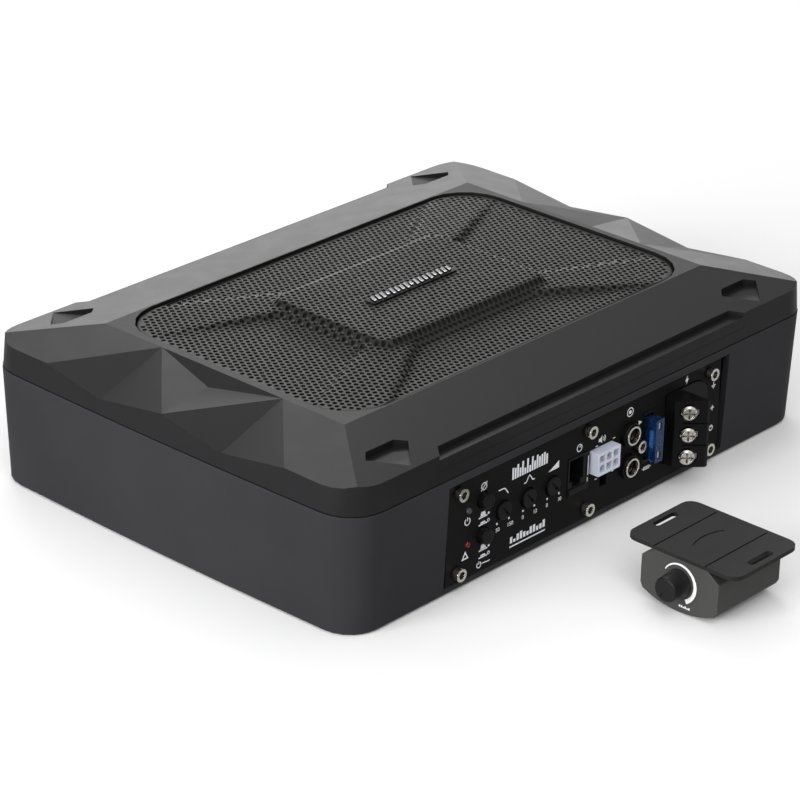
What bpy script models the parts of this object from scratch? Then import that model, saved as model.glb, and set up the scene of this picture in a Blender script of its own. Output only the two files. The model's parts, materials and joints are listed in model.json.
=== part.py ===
"""Powered car subwoofer: a flat under-seat bass box with its own amplifier and a wired level remote.

The box lies flat with its grille up. The origin is the middle of its underside, on the ground.
+X runs along the long side, the control panel faces -Y, and +Z is up.
All sizes below are millimetres; they become metres when a mesh is made.
"""

import math

import bmesh
import bpy
from mathutils import Vector

MM = 0.001
GAP = 0.3

# Casing: tub below, lid above, parted at SEAM_Z
HALF_X = 140.8
HALF_Y = 101.0
CORNER_R = 16.7
SIDE_BOW = 1.24
SEAM_Z = 50.5
TUB_DRAFT = 2.0
TUB_EDGE = 1.0
WALL = 3.2
RIM = 1.5
FLOOR = 2.5
SEAL_DROP = 0.8
RIDGE_Y = 33.2
SHOULDER_Y = 65.0
HIP_ANGLE = 51.6
POST_X = 127.0
POST_Y = 86.5
POST_R = 5.4

# Lid top: a flat plateau, sloping sides and a folded V at each short end
PLATEAU_X = 108.0
PLATEAU_Y = 65.4
PLATEAU_Z = 68.3
LONG_SLOPE = 0.184
END_SLOPE = 0.222
VALLEY_Y = 33.1
EDGE_INSET = 1.2
RIDGE_Z = 61.5
VALLEY_Z = 56.8
NOTCH_X = 115.2
NOTCH_Z = 64.4
ROOF_Z = 60.7
ROOF_X = 116.0
ROOF_Y = 79.0
POCKET_Z = 62.2
POCKET_PLAN = ((99.7, 82.5), (114.7, 82.5), (118.6, 86.3), (106.7, 98.0), (95.4, 86.3))
GROOVE_Y = 95.0
GROOVE_TOP_Z = 60.2
GROOVE_LOW_Z = 55.5
GROOVE_WALL_Y = 100.2
GROOVE_INNER_X = 88.7
GROOVE_FLARE = 0.88

# Grille opening and the embossed grille sheet
OPENING_X = 105.0
OPENING_Y = 64.8
OPENING_R = 21.5
LEDGE_Z = 64.6
THROAT_X = 98.0
THROAT_Y = 58.0
THROAT_R = 16.0
GRILLE_Z = 67.3
GRILLE_PAD_Z = 71.6
GRILLE_SHEET = 1.0
PAD_X = 48.5
PAD_Y = 31.2
PAD_WALL = 4.3
ARM_WIDTH = 10.0
ARM_DROP = 0.5
BADGE_X = 50.0
BADGE_Y = 6.0
BADGE_Z = 1.2

# Oval woofer hung under the lid
DRIVER_SIDES = 32
HIDDEN_SIDES = 8
FLANGE = (113.0, 77.0, 5.0)
FLANGE_TOP = 58.1
FLANGE_SHEET = 1.5
BOWL_MOUTH = (96.0, 58.0, 3.0)
BOWL_RIM_Z = 50.5
SEAT_Z = 28.3
SEAT_R = 30.0
SPIDER_LEDGE_Z = 34.0
SPIDER_LEDGE_R = 42.0
WOOFER_SCREW_X = 97.0
WOOFER_SCREW_Y = 61.5
COIL_R = 25.4
COIL_WALL = 0.9
COIL_LOW = 16.0
COIL_TOP = 39.3
CONE_NECK_R = 25.9
CONE_NECK_Z = 38.0
YOKE_Z = 3.5
YOKE_R = 44.0
POLE_R = 23.9
MAGNET_R = 45.0

# Control panel on the front wall
PANEL_Y = -99.5
PANEL_SHEET = 1.6
PANEL_LEFT = -87.2
PANEL_RIGHT = 80.0
PANEL_LOW = 3.5
PANEL_TOP = 46.3
WINDOW = (-87.7, 83.8, 3.2, 46.8)
PANEL_SCREWS = (
    (-81.5, 42.3), (-81.5, 8.2), (-5.4, 42.3), (-5.2, 8.2), (26.4, 25.0), (72.0, 41.8), (72.2, 7.8),
)
PANEL_SCREW_HEAD_R = 2.75
PANEL_SCREW_HEAD_H = 3.0
PANEL_SCREW_SHANK = (1.45, 6.0)
RCA_SCREW = 4
LEDS = {"power_led": (-75.0, 32.4), "protect_led": (-75.3, 18.2)}
BUTTONS = {"phase_button": (-67.0, 34.4), "auto_on_button": (-66.8, 19.2)}
TRIMMERS = {"low_pass_trimmer": -55.2, "bass_boost_trimmer": -40.5, "level_trimmer": -26.0}
TRIMMER_Z = 25.6
BUTTON_R = 3.25
TRIMMER_R = 3.9
TRIMMER_SLOT = -45.0
RCA_X = 20.8
RCA_Z = {"right": 31.8, "left": 17.6}
RCA_BLOCK = (14.6, 29.3, 10.6, 38.8)
RCA_BOSS_R = 5.0
RCA_SLEEVE_IN = 3.3
RCA_SLEEVE_OUT = 4.1
RCA_SLEEVE_Z = (-7.6, 3.2)
REMOTE_SOCKET = (-16.6, -3.8, 16.7, 33.2)
REMOTE_MOUTH = (-15.6, -7.4, 20.4, 32.2)
HIGH_SOCKET = (-2.9, 10.9, 22.2, 32.2)
LATCH_NOTCH = (3.7, 8.1, 14.0, 22.6)
PIN_PITCH = 4.2
PIN_HOLE_HALF = 1.6
FUSE_X = 33.6
FUSE_Z = 26.3
FUSE_OUT = 6.0
FUSE_HALF = (2.55, 9.55)
FUSE_WELL_HALF = (2.95, 9.95)
FUSE_HOLDER_HALF = (3.65, 11.4)
FUSE_BLADE_HALF = (0.35, 2.6)
FUSE_BLADE_STEP = 6.5
FUSE_BLADE_BACK = -14

# Amplifier behind the panel: chassis, board and capacitors
CHASSIS_X = (-84.0, 77.5)
CHASSIS_Y = (-97.4, -60.0)
CHASSIS_Z = (3.6, 5.2, 45.4)
CHASSIS_WALL = 4.0
RAIL_BACK_Y = -93.0
RAIL_LOW_TOP = 10.1
RAIL_HIGH_LOW = 39.3
BOARD_X = (-78.0, 73.0)
BOARD_Y = (-92.5, -62.0)
BOARD_Z = (6.6, 8.2)
SWITCH_HALF = 3.9
SWITCH_BACK_Y = -83.0
TRIMMER_CASE_HALF = 5.0
TRIMMER_CASE_BACK_Y = -86.0
HEAT_BAR = (-22.0, 36.0, -70.0, -64.0, 30.0)
CAPACITOR_X = (-60.0, -42.0)
CAPACITOR_Y = -74.0
CAPACITOR_R = 8.0
CAPACITOR_H = 24.4

# Power terminal block with a 45 degree screw face
BLOCK_X = 44.4
BLOCK_OUT = 4.7
FACE_RUN = 9.4
BLOCK_BACK_X = 55.3
BLOCK_LOW = 10.2
BAY = 9.8
BLOCK_FLANGE_OUT = 0.8
BLOCK_FLANGE_X = 71.2
BLOCK_FLANGE_TOP = 41.0
BLOCK_FLANGE_R = 9.0
FACE_SCREW = 5.7
FACE_RECESS_R = 3.75
FACE_RECESS = 1.7
CLAMP_R = 3.3
CLAMP_LOW = -1.35
CLAMP_TOP = -0.45
CLAMP_TAB = (2.0, 4.2, 1.3)
TERMINAL_SHANK_R = 1.7
TERMINAL_HEAD_R = 3.3
SCREW_FACE_TURN = -math.pi / 4

# Wired remote, standing on the ground in front of the panel
REMOTE_Y = -169.8
REMOTE_FRONT = -34.0
REMOTE_BACK = 5.0
REMOTE_HALF = 18.5
REMOTE_TOP = 22.0
REMOTE_SIDE = (4.4, 17.9)
REMOTE_CHEEK = 1.6
REMOTE_FLAT = 13.0
REMOTE_WALL = 2.5
BRACKET_HALF = 26.7
BRACKET_SHEET = 1.8
SLOT_Y = 22.6
LINE_Y = 12.1
LINE_DEEP = 0.5
LINE_HALF = 0.35
THUMB_ARC = (-1.6, -17.1, 20.5)
THUMB_ANGLES = (61.0, 114.5)
KNOB_Z = 12.4
KNOB_OUT = 8.7
KNOB_MARK = -120.0

TO_PANEL = (math.pi / 2, 0.0, 0.0)
TO_SCREW_FACE = (math.pi / 2, 0.0, SCREW_FACE_TURN)
TO_REMOTE_FRONT = (math.pi / 2, 0.0, -math.pi / 2)
HEAD_DOWN = (math.pi, 0.0, 0.0)

# colour, roughness, metallic
FINISHES = {
    "black_plastic": ((0.035, 0.035, 0.036), 0.55, 0.0),
    "painted_metal": ((0.03, 0.03, 0.03), 0.5, 0.1),
    "grille_metal": ((0.14, 0.135, 0.12), 0.45, 0.6),
    "chrome": ((0.85, 0.85, 0.85), 0.15, 1.0),
    "nickel": ((0.75, 0.72, 0.65), 0.25, 1.0),
    "steel": ((0.45, 0.45, 0.46), 0.4, 1.0),
    "aluminium": ((0.6, 0.6, 0.62), 0.4, 1.0),
    "ferrite": ((0.06, 0.06, 0.065), 0.7, 0.0),
    "paper": ((0.05, 0.05, 0.05), 0.9, 0.0),
    "rubber": ((0.02, 0.02, 0.02), 0.7, 0.0),
    "copper": ((0.7, 0.35, 0.2), 0.35, 1.0),
    "cloth": ((0.55, 0.42, 0.2), 0.9, 0.0),
    "board": ((0.03, 0.16, 0.06), 0.5, 0.0),
    "white_plastic": ((0.75, 0.76, 0.82), 0.4, 0.0),
    "blue_plastic": ((0.02, 0.1, 0.35), 0.2, 0.0),
    "red_lens": ((0.5, 0.03, 0.03), 0.2, 0.0),
    "clear_lens": ((0.8, 0.8, 0.8), 0.2, 0.0),
}


# ---------------------------------------------------------------- helpers

def clear_scene():
    for existing in list(bpy.data.objects):
        bpy.data.objects.remove(existing, do_unlink=True)


def make_material(name, finish):
    colour, roughness, metallic = FINISHES[finish]
    material = bpy.data.materials.new(name)
    material.use_nodes = True
    shader = material.node_tree.nodes["Principled BSDF"]
    shader.inputs["Base Color"].default_value = (*colour, 1.0)
    shader.inputs["Roughness"].default_value = roughness
    shader.inputs["Metallic"].default_value = metallic
    return material


def add_object(name, bm, finish=None, place=(0, 0, 0), turn=(0, 0, 0), smooth=False):
    """Turns a bmesh in millimetres into a scene object in metres; without a finish it is a cutter."""
    bmesh.ops.scale(bm, vec=(MM, MM, MM), verts=bm.verts)
    bmesh.ops.recalc_face_normals(bm, faces=bm.faces)
    mesh = bpy.data.meshes.new(name)
    bm.to_mesh(mesh)
    bm.free()
    if smooth:
        mesh.shade_smooth()
        mesh.set_sharp_from_angle(angle=math.radians(35))
    item = bpy.data.objects.new(name, mesh)
    bpy.context.collection.objects.link(item)
    item.location = Vector(place) * MM
    item.rotation_euler = turn
    if finish is None:
        item.hide_render = True
        item.display_type = "WIRE"
    else:
        mesh.materials.append(make_material(name, finish))
    return item


def combine(item, tools, operation):
    """Applies a Boolean of each tool to the item, then removes the tools."""
    for tool in tools:
        modifier = item.modifiers.new(operation.lower(), "BOOLEAN")
        modifier.operation = operation
        modifier.solver = "EXACT"
        modifier.object = tool
    bpy.context.view_layer.update()
    evaluated = item.evaluated_get(bpy.context.evaluated_depsgraph_get())
    result = bpy.data.meshes.new_from_object(evaluated)
    item.modifiers.clear()
    item.data = result
    for tool in tools:
        bpy.data.objects.remove(tool, do_unlink=True)


def cut(item, tools):
    combine(item, tools, "DIFFERENCE")


def join(item, tools):
    combine(item, tools, "UNION")


def loft(rings, closed=False):
    """Skins rings of equal point count; closed joins the last ring to the first, open ends get caps."""
    bm = bmesh.new()
    loops = [[bm.verts.new(point) for point in ring] for ring in rings]
    following = loops[1:] + loops[:1] if closed else loops[1:]
    for lower, upper in zip(loops, following):
        count = len(lower)
        for i in range(count):
            j = (i + 1) % count
            bm.faces.new((lower[i], lower[j], upper[j], upper[i]))
    if not closed:
        bm.faces.new(loops[0])
        bm.faces.new(loops[-1])
    return bm


def level(outline, z):
    return [(x, y, z) for x, y in outline]


def prism(outline, low, high):
    return loft([level(outline, low), level(outline, high)])


def rectangle(x0, x1, y0, y1):
    return [(x0, y0), (x1, y0), (x1, y1), (x0, y1)]


def bar(start, end, half_width, degrees):
    """Rectangle from start to end along a ray at the given angle."""
    angle = math.radians(degrees)
    c = math.cos(angle)
    s = math.sin(angle)
    return [(u * c - v * s, u * s + v * c) for u, v in rectangle(start, end, -half_width, half_width)]


def box(x0, x1, y0, y1, z0, z1):
    return prism(rectangle(x0, x1, y0, y1), z0, z1)


def circle(radius, sides, centre=(0, 0)):
    angles = [2 * math.pi * i / sides for i in range(sides)]
    return [(centre[0] + radius * math.cos(a), centre[1] + radius * math.sin(a)) for a in angles]


def turned(profile, sides, closed=False):
    """Turns (radius, height) pairs about +Z; closed makes a ring with a bore."""
    return loft([level(circle(radius, sides), height) for radius, height in profile], closed)


def superellipse(half_x, half_y, power, sides=DRIVER_SIDES):
    points = []
    for i in range(sides):
        angle = 2 * math.pi * i / sides
        c = math.cos(angle)
        s = math.sin(angle)
        x = math.copysign(half_x * abs(c) ** (2 / power), c)
        y = math.copysign(half_y * abs(s) ** (2 / power), s)
        points.append((x, y))
    return points


def rounded_rectangle(half_x, half_y, radius, steps=5):
    points = []
    for quarter, (sx, sy) in enumerate(((1, 1), (-1, 1), (-1, -1), (1, -1))):
        centre = (sx * (half_x - radius), sy * (half_y - radius))
        for i in range(steps + 1):
            angle = math.pi / 2 * (quarter + i / steps)
            points.append((centre[0] + radius * math.cos(angle), centre[1] + radius * math.sin(angle)))
    return points


def corner_angles():
    """Angles of one casing corner, in degrees, with one point on the hip line."""
    return [HIP_ANGLE * i / 3 for i in range(4)] + [HIP_ANGLE + (90 - HIP_ANGLE) * i / 3 for i in range(1, 4)]


def quarter_outline(half_x, half_y, radius, bow):
    """Casing outline from the middle of the +X side to the end of the +Y corner."""
    reach = half_y - radius
    points = [(half_x + bow * (1 - (y / reach) ** 2), y) for y in (0.0, RIDGE_Y, SHOULDER_Y)]
    for degrees in corner_angles():
        angle = math.radians(degrees)
        points.append((half_x - radius + radius * math.cos(angle), reach + radius * math.sin(angle)))
    return points


def mirror_quarter(quarter):
    """Full outline, counter-clockwise, from a quarter whose first point lies on the X axis."""
    upper = quarter + [(-x, y) for x, y in reversed(quarter)]
    lower = [(x, -y) for x, y in reversed(upper[1:-1])]
    return upper + lower


def casing_outline(inset, bow=SIDE_BOW):
    return mirror_quarter(quarter_outline(HALF_X - inset, HALF_Y - inset, CORNER_R - inset, bow))


def pan_screw(name, head_r, head_h, shank_r, shank_length, place):
    """Plain pan head screw driven upwards from below; its head hangs under the clamped face at z = 0."""
    shank = ((shank_r, -shank_length), (shank_r, 0))
    head = ((head_r, 0), (head_r, head_h * 0.6), (head_r * 0.6, head_h))
    add_object(name, turned(shank + head, 10), "steel", place, HEAD_DOWN, smooth=True)


def socket_screw(name, head_r, head_h, shank_r, shank_length, finish, place, turn):
    """Socket head screw: its head stands along local +Z from the clamped face at z = 0."""
    socket_r = head_r * 0.62
    inner_r = socket_r * math.cos(math.pi / 6)
    hexagon = [(r * math.cos(a), r * math.sin(a))
               for r, a in ((socket_r if i % 2 == 0 else inner_r, math.pi * i / 6) for i in range(12))]
    rings = [
        level(circle(shank_r, 12), -shank_length),
        level(circle(shank_r, 12), 0),
        level(circle(head_r, 12), 0),
        level(circle(head_r, 12), head_h),
        level(hexagon, head_h),
        level(hexagon, head_h * 0.5),
    ]
    return add_object(name, loft(rings), finish, place, turn, smooth=True)


# ---------------------------------------------------------------- casing

def corners(x, y):
    return [(sx * x, sy * y) for sx in (1, -1) for sy in (1, -1)]


def make_tub():
    rings = [
        level(casing_outline(TUB_DRAFT + TUB_EDGE), 0),
        level(casing_outline(TUB_DRAFT), TUB_EDGE),
        level(casing_outline(0), SEAM_Z - GAP),
        level(casing_outline(RIM), SEAM_Z - GAP),
        level(casing_outline(RIM), SEAM_Z - GAP - SEAL_DROP),
        level(casing_outline(WALL), SEAM_Z - GAP - SEAL_DROP),
        level(casing_outline(WALL + TUB_DRAFT), FLOOR),
    ]
    tub = add_object("tub", loft(rings), "painted_metal", smooth=True)
    posts = [add_object("post", turned(((POST_R, 1.5), (POST_R, SEAM_Z - GAP)), 12), place=(x, y, 0))
             for x, y in corners(POST_X, POST_Y)]
    join(tub, posts)
    bore = ((4.3, -1), (4.3, 38), (1.9, 38), (1.9, SEAM_Z + 1))
    tools = [add_object("bore", turned(bore, 12), place=(x, y, 0)) for x, y in corners(POST_X, POST_Y)]
    left, right, low, high = WINDOW
    tools.append(add_object("window", box(left, right, -110, -93, low, high)))
    cut(tub, tools)


def end_height(x):
    return PLATEAU_Z - END_SLOPE * (abs(x) - PLATEAU_X)


def side_height(y):
    return PLATEAU_Z - LONG_SLOPE * (abs(y) - PLATEAU_Y)


def lid_edge_ring():
    """Top edge of the lid wall: zigzag at the short ends, straight along the long sides."""
    quarter = quarter_outline(HALF_X - EDGE_INSET, HALF_Y - EDGE_INSET, CORNER_R - EDGE_INSET, 0.0)
    quarter[0] = (HALF_X - 1.0, 0.0)
    quarter[1] = (HALF_X, RIDGE_Y)
    heights = [RIDGE_Z, VALLEY_Z]
    heights += [end_height(x) for x, y in quarter[2:7]]
    heights += [side_height(y) for x, y in quarter[7:]]
    half = heights + heights[::-1]
    full = half + half[1:-1][::-1]
    return [(x, y, z) for (x, y), z in zip(mirror_quarter(quarter), full)]


def lid_inner_rings():
    """Inner surface of the lid, from the seam up to the flat roof that the woofer hangs from."""
    wall = mirror_quarter(quarter_outline(HALF_X - WALL, HALF_Y - WALL, CORNER_R - WALL, 0.0))
    roof = mirror_quarter(quarter_outline(ROOF_X, ROOF_Y, 10.0, 0.0))
    knee = []
    for x, y in wall:
        share = min(1.0, max(0.0, (abs(y) - SHOULDER_Y) / (HALF_Y - WALL - SHOULDER_Y)))
        knee.append((x, y, 52.2 + 4.8 * share))
    return [level(wall, SEAM_Z + GAP), knee, level(roof, ROOF_Z)]


def make_lid_shell():
    """Closed lid shell: flat facets on top, wall, seam face and inner roof."""
    bm = bmesh.new()
    edge = [bm.verts.new(p) for p in lid_edge_ring()]
    seam = [bm.verts.new(p) for p in level(casing_outline(0.3), SEAM_Z + GAP)]
    inner = [[bm.verts.new(p) for p in ring] for ring in lid_inner_rings()]
    count = len(edge)
    for lower, upper in ((seam, edge), (seam, inner[0]), (inner[0], inner[1]), (inner[1], inner[2])):
        for i in range(count):
            j = (i + 1) % count
            bm.faces.new((lower[i], lower[j], upper[j], upper[i]))
    bm.faces.new(inner[2])
    half = count // 2
    top = {}
    for side in (1, -1):
        for key, y in (("far", PLATEAU_Y), ("far_v", VALLEY_Y), ("near_v", -VALLEY_Y), ("near", -PLATEAU_Y)):
            top[side, key] = bm.verts.new((side * PLATEAU_X, y, PLATEAU_Z))
        top[side, "notch"] = bm.verts.new((side * NOTCH_X, 0, NOTCH_Z))
    rising = ("near", "near_v", "far_v", "far")
    bm.faces.new([top[1, key] for key in rising] + [top[-1, key] for key in reversed(rising)])
    right = {"mid": edge[0], "far": edge[1:7], "near": edge[-1:-7:-1]}
    left = {"mid": edge[half], "far": edge[half - 1:half - 7:-1], "near": edge[half + 1:half + 7]}
    for side, ring in ((1, right), (-1, left)):
        notch = top[side, "notch"]
        bm.faces.new((top[side, "near_v"], top[side, "far_v"], notch))
        for where in ("far", "near"):
            valley = top[side, where + "_v"]
            ridge, shoulder = ring[where][:2]
            bm.faces.new((valley, notch, ring["mid"]))
            bm.faces.new((valley, ring["mid"], ridge))
            bm.faces.new((valley, ridge, shoulder))
            bm.faces.new([top[side, where], valley] + ring[where][1:])
    far_slope = edge[6:half - 5]
    near_slope = edge[half + 6:count - 5]
    bm.faces.new([top[-1, "far"], top[1, "far"]] + far_slope)
    bm.faces.new([top[1, "near"], top[-1, "near"]] + near_slope)
    return bm


def groove_cutter(side):
    """Long step cut into the slope above the side wall, with slanted ends."""
    profile = ((GROOVE_Y, GROOVE_TOP_Z), (GROOVE_Y, 72), (112, 72), (112, GROOVE_LOW_Z),
               (GROOVE_WALL_Y, GROOVE_LOW_Z), (GROOVE_WALL_Y, GROOVE_TOP_Z))
    ends = []
    for sx in (1, -1):
        end = []
        for y, z in profile:
            x = GROOVE_INNER_X + GROOVE_FLARE * (y - GROOVE_Y)
            end.append((sx * x, side * y, z))
        ends.append(end)
    return add_object("groove", loft(ends))


def make_lid():
    lid = add_object("lid", make_lid_shell(), "black_plastic", smooth=True)
    bosses = [add_object("boss", turned(((4.6, SEAM_Z + GAP), (4.6, 60.5)), HIDDEN_SIDES), place=(x, y, 0))
              for x, y in corners(POST_X, POST_Y)]
    join(lid, bosses)
    opening = rounded_rectangle(OPENING_X, OPENING_Y, OPENING_R)
    throat = rounded_rectangle(THROAT_X, THROAT_Y, THROAT_R, 4)
    tools = [add_object("opening", prism(opening, LEDGE_Z, 75))]
    tools.append(add_object("throat", prism(throat, 50, LEDGE_Z + 1)))
    for sx, sy in corners(1, 1):
        plan = [(sx * x, sy * y) for x, y in POCKET_PLAN]
        tools.append(add_object("pocket", prism(plan, POCKET_Z, 75)))
    tools += [groove_cutter(1), groove_cutter(-1)]
    for x, y in corners(POST_X, POST_Y):
        tools.append(add_object("pilot", turned(((1.9, 49), (1.9, 58.5)), HIDDEN_SIDES), place=(x, y, 0)))
    for x, y in corners(WOOFER_SCREW_X, WOOFER_SCREW_Y):
        tools.append(add_object("pilot", turned(((1.9, 55), (1.9, 65.2)), HIDDEN_SIDES), place=(x, y, 0)))
    cut(lid, tools)


def make_lid_gasket():
    outer = casing_outline(RIM + GAP + 0.1)
    inner = casing_outline(WALL - 0.1)
    low = SEAM_Z - SEAL_DROP
    rings = [level(outer, low), level(outer, SEAM_Z), level(inner, SEAM_Z), level(inner, low)]
    add_object("lid_gasket", loft(rings, closed=True), "rubber")


def make_lid_screws():
    for number, (x, y) in enumerate(corners(POST_X, POST_Y), 1):
        pan_screw(f"lid_screw_{number}", 3.4, 2.8, 1.5, 19.5, (x, y, 37.6))


# ---------------------------------------------------------------- grille

def grille_corner(half_x, half_y, radius, z_low, z_high, arm):
    """Points of one corner of a grille ring: a low point, an arc on the arm, and a low point."""
    cx = half_x - radius
    cy = half_y - radius
    points = [(half_x, cy - arm, z_low)]
    for i in range(5):
        angle = math.pi / 8 * i
        points.append((cx + radius * math.cos(angle), cy + radius * math.sin(angle), z_high))
    points.append((cx - arm, half_y, z_low))
    return points


def grille_ring(half_x, half_y, radius, z_low, z_high, arm):
    corner = grille_corner(half_x, half_y, radius, z_low, z_high, arm)
    back = [(-x, y, z) for x, y, z in reversed(corner)]
    return corner + back + [(-x, -y, z) for x, y, z in corner] + [(x, -y, z) for x, y, z in reversed(corner)]


def grille_surface(drop):
    """Rings of the embossed sheet from its outer fold to the raised middle pad, lowered by drop."""
    edge_x = OPENING_X - 2 * GAP - drop
    edge_y = OPENING_Y - 2 * GAP - drop
    radius = OPENING_R - 2 * GAP - drop
    foot = PAD_WALL
    arm_z = GRILLE_PAD_Z - ARM_DROP
    return [
        grille_ring(edge_x, edge_y, radius, GRILLE_Z - drop, GRILLE_Z - drop, 1.5),
        grille_ring(PAD_X + foot, PAD_Y + foot, ARM_WIDTH, GRILLE_Z - drop, arm_z - drop, foot),
        grille_ring(PAD_X, PAD_Y, ARM_WIDTH / 2, GRILLE_PAD_Z - drop, GRILLE_PAD_Z - drop, 6.0),
    ]


def make_grille():
    top = grille_surface(0)
    under = grille_surface(GRILLE_SHEET)
    low = LEDGE_Z + GAP
    fold_outer = [(x, y, low) for x, y, z in top[0]]
    fold_inner = [(x, y, low) for x, y, z in under[0]]
    rings = top[::-1] + [fold_outer, fold_inner] + under
    add_object("grille", loft(rings), "grille_metal")


def make_badge():
    outline = rounded_rectangle(BADGE_X / 2, BADGE_Y / 2, 1.5, 3)
    low = GRILLE_PAD_Z + GAP
    add_object("grille_badge", prism(outline, low, low + BADGE_Z), "chrome")


# ---------------------------------------------------------------- woofer

def make_basket():
    mouth_x, mouth_y, mouth_power = BOWL_MOUTH
    under = FLANGE_TOP - FLANGE_SHEET
    rings = [
        level(superellipse(*FLANGE), under),
        level(superellipse(*FLANGE), FLANGE_TOP),
        level(superellipse(mouth_x, mouth_y, mouth_power), FLANGE_TOP),
        level(superellipse(mouth_x - 0.3, mouth_y - 0.3, mouth_power), BOWL_RIM_Z + 1),
        level(superellipse(46.5, 46.5, 2), SPIDER_LEDGE_Z),
        level(superellipse(SPIDER_LEDGE_R, SPIDER_LEDGE_R, 2), SPIDER_LEDGE_Z),
        level(superellipse(SPIDER_LEDGE_R, SPIDER_LEDGE_R, 2), SEAT_Z + 1.5),
        level(superellipse(SEAT_R, SEAT_R, 2), SEAT_Z + 1.5),
        level(superellipse(SEAT_R, SEAT_R, 2), SEAT_Z),
        level(superellipse(46.5, 46.5, 2), SEAT_Z),
        level(superellipse(48.0, 48.0, 2), SPIDER_LEDGE_Z - 1),
        level(superellipse(mouth_x + 1.2, mouth_y + 1.2, mouth_power), BOWL_RIM_Z),
        level(superellipse(mouth_x + 1.5, mouth_y + 1.5, mouth_power), under),
    ]
    bowl = loft(rings, closed=True)
    bmesh.ops.triangulate(bowl, faces=bowl.faces)
    basket = add_object("woofer_basket", bowl, "painted_metal", smooth=True)
    tools = [add_object("window", box(sx * 72 - 14, sx * 72 + 14, -26, 26, 32, 49)) for sx in (1, -1)]
    tools += [add_object("window", box(-38, 38, sy * 55 - 4, sy * 55 + 8, 37, 48)) for sy in (1, -1)]
    tools += [add_object("hole", turned(((1.9, 50), (1.9, 60)), HIDDEN_SIDES), place=(x, y, 0))
              for x, y in corners(WOOFER_SCREW_X, WOOFER_SCREW_Y)]
    cut(basket, tools)


def make_woofer_gasket():
    outer = superellipse(112.0, 76.0, 5.0)
    inner = superellipse(102.0, 64.0, 3.5)
    low = FLANGE_TOP + GAP
    high = ROOF_Z - GAP
    rings = [level(outer, low), level(outer, high), level(inner, high), level(inner, low)]
    gasket = add_object("woofer_gasket", loft(rings, closed=True), "rubber")
    tools = [add_object("hole", turned(((1.9, 50), (1.9, 65)), HIDDEN_SIDES), place=(x, y, 0))
             for x, y in corners(WOOFER_SCREW_X, WOOFER_SCREW_Y)]
    cut(gasket, tools)


def make_surround():
    """Rubber edge: a flat outer rim, a roll that hangs down, and an inner rim over the cone."""
    rim_z = FLANGE_TOP + GAP + 0.8
    profile = [(0.0, 0.0), (5.2, 0.0)]
    for i in range(5):
        angle = math.pi * i / 4
        profile.append((10.6 - 4.4 * math.cos(angle), -5.2 * math.sin(angle)))
    profile += [(18.4, 0.0)]
    rings = []
    for drop in (0.0, 0.8):
        skin = []
        for offset, z in profile:
            power = 3.5 - 1.1 * offset / profile[-1][0]
            skin.append(level(superellipse(101.5 - offset, 63.5 - offset, power), rim_z + z - drop))
        rings += skin if drop == 0.0 else skin[::-1]
    add_object("surround", loft(rings, closed=True), "rubber", smooth=True)


def make_cone():
    top = FLANGE_TOP
    rings = [
        level(superellipse(85.2, 47.2, 2.4), top - 1),
        level(superellipse(85.2, 47.2, 2.4), top),
        level(superellipse(84.0, 46.0, 2.4), top),
        level(superellipse(CONE_NECK_R, CONE_NECK_R, 2), CONE_NECK_Z + 1),
        level(superellipse(CONE_NECK_R, CONE_NECK_R, 2), CONE_NECK_Z - 0.2),
        level(superellipse(CONE_NECK_R + 1, CONE_NECK_R + 1, 2), CONE_NECK_Z - 0.2),
    ]
    add_object("cone", loft(rings, closed=True), "paper", smooth=True)


def make_dust_cap():
    """Shallow dome that closes the coil's mouth, resting just above the cone's neck."""
    base = CONE_NECK_Z + 3.1
    inner = [(4.0, base + 7.4), (14.0, base + 6.2), (23.0, base + 3.0), (26.4, base)]
    outer = [(27.5, base), (24.0, base + 3.8), (14.0, base + 7.2), (4.0, base + 8.4)]
    add_object("dust_cap", turned(inner + outer, 24), "paper", smooth=True)


def make_voice_coil():
    inner = COIL_R - COIL_WALL
    profile = ((COIL_R, COIL_LOW), (COIL_R, COIL_TOP), (inner, COIL_TOP), (inner, COIL_LOW))
    add_object("voice_coil", turned(profile, 24, closed=True), "copper", smooth=True)


def make_spider():
    """Corrugated cloth ring from the coil to the ledge in the basket."""
    inner_r = COIL_R + 0.4
    outer_r = 45.8
    mid = SPIDER_LEDGE_Z + GAP + 0.3
    profile = []
    for i, wave in enumerate((0.0, 1.1, -0.9, 1.1, 0.0, 0.0)):
        profile.append((inner_r + (outer_r - inner_r) * i / 5, mid + wave))
    upper = [(r, z + 0.3) for r, z in profile]
    lower = [(r, z - 0.3) for r, z in reversed(profile)]
    add_object("spider", turned(upper + lower, 24, closed=True), "cloth", smooth=True)


def make_magnet_system():
    sides = 24
    plate_top = SEAT_Z - GAP
    top_plate = ((26.3, plate_top - 5), (43.0, plate_top - 5), (43.0, plate_top), (26.3, plate_top))
    add_object("top_plate", turned(top_plate, sides, closed=True), "steel", smooth=True)
    yoke_top = YOKE_Z + 5.5
    magnet_low = yoke_top + GAP
    magnet_top = plate_top - 5 - GAP
    magnet = ((28.0, magnet_low), (MAGNET_R, magnet_low), (MAGNET_R, magnet_top), (28.0, magnet_top))
    add_object("magnet", turned(magnet, sides, closed=True), "ferrite", smooth=True)
    yoke = ((YOKE_R, YOKE_Z), (YOKE_R, yoke_top), (POLE_R, yoke_top), (POLE_R, plate_top))
    add_object("yoke", turned(yoke, sides), "steel", smooth=True)


def make_woofer_screws():
    for number, (x, y) in enumerate(corners(WOOFER_SCREW_X, WOOFER_SCREW_Y), 1):
        pan_screw(f"woofer_screw_{number}", 3.0, 2.4, 1.5, 7.6, (x, y, FLANGE_TOP - FLANGE_SHEET - GAP))


# ---------------------------------------------------------------- control panel and amplifier

def on_panel(x, z):
    return (x, PANEL_Y, z)


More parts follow.
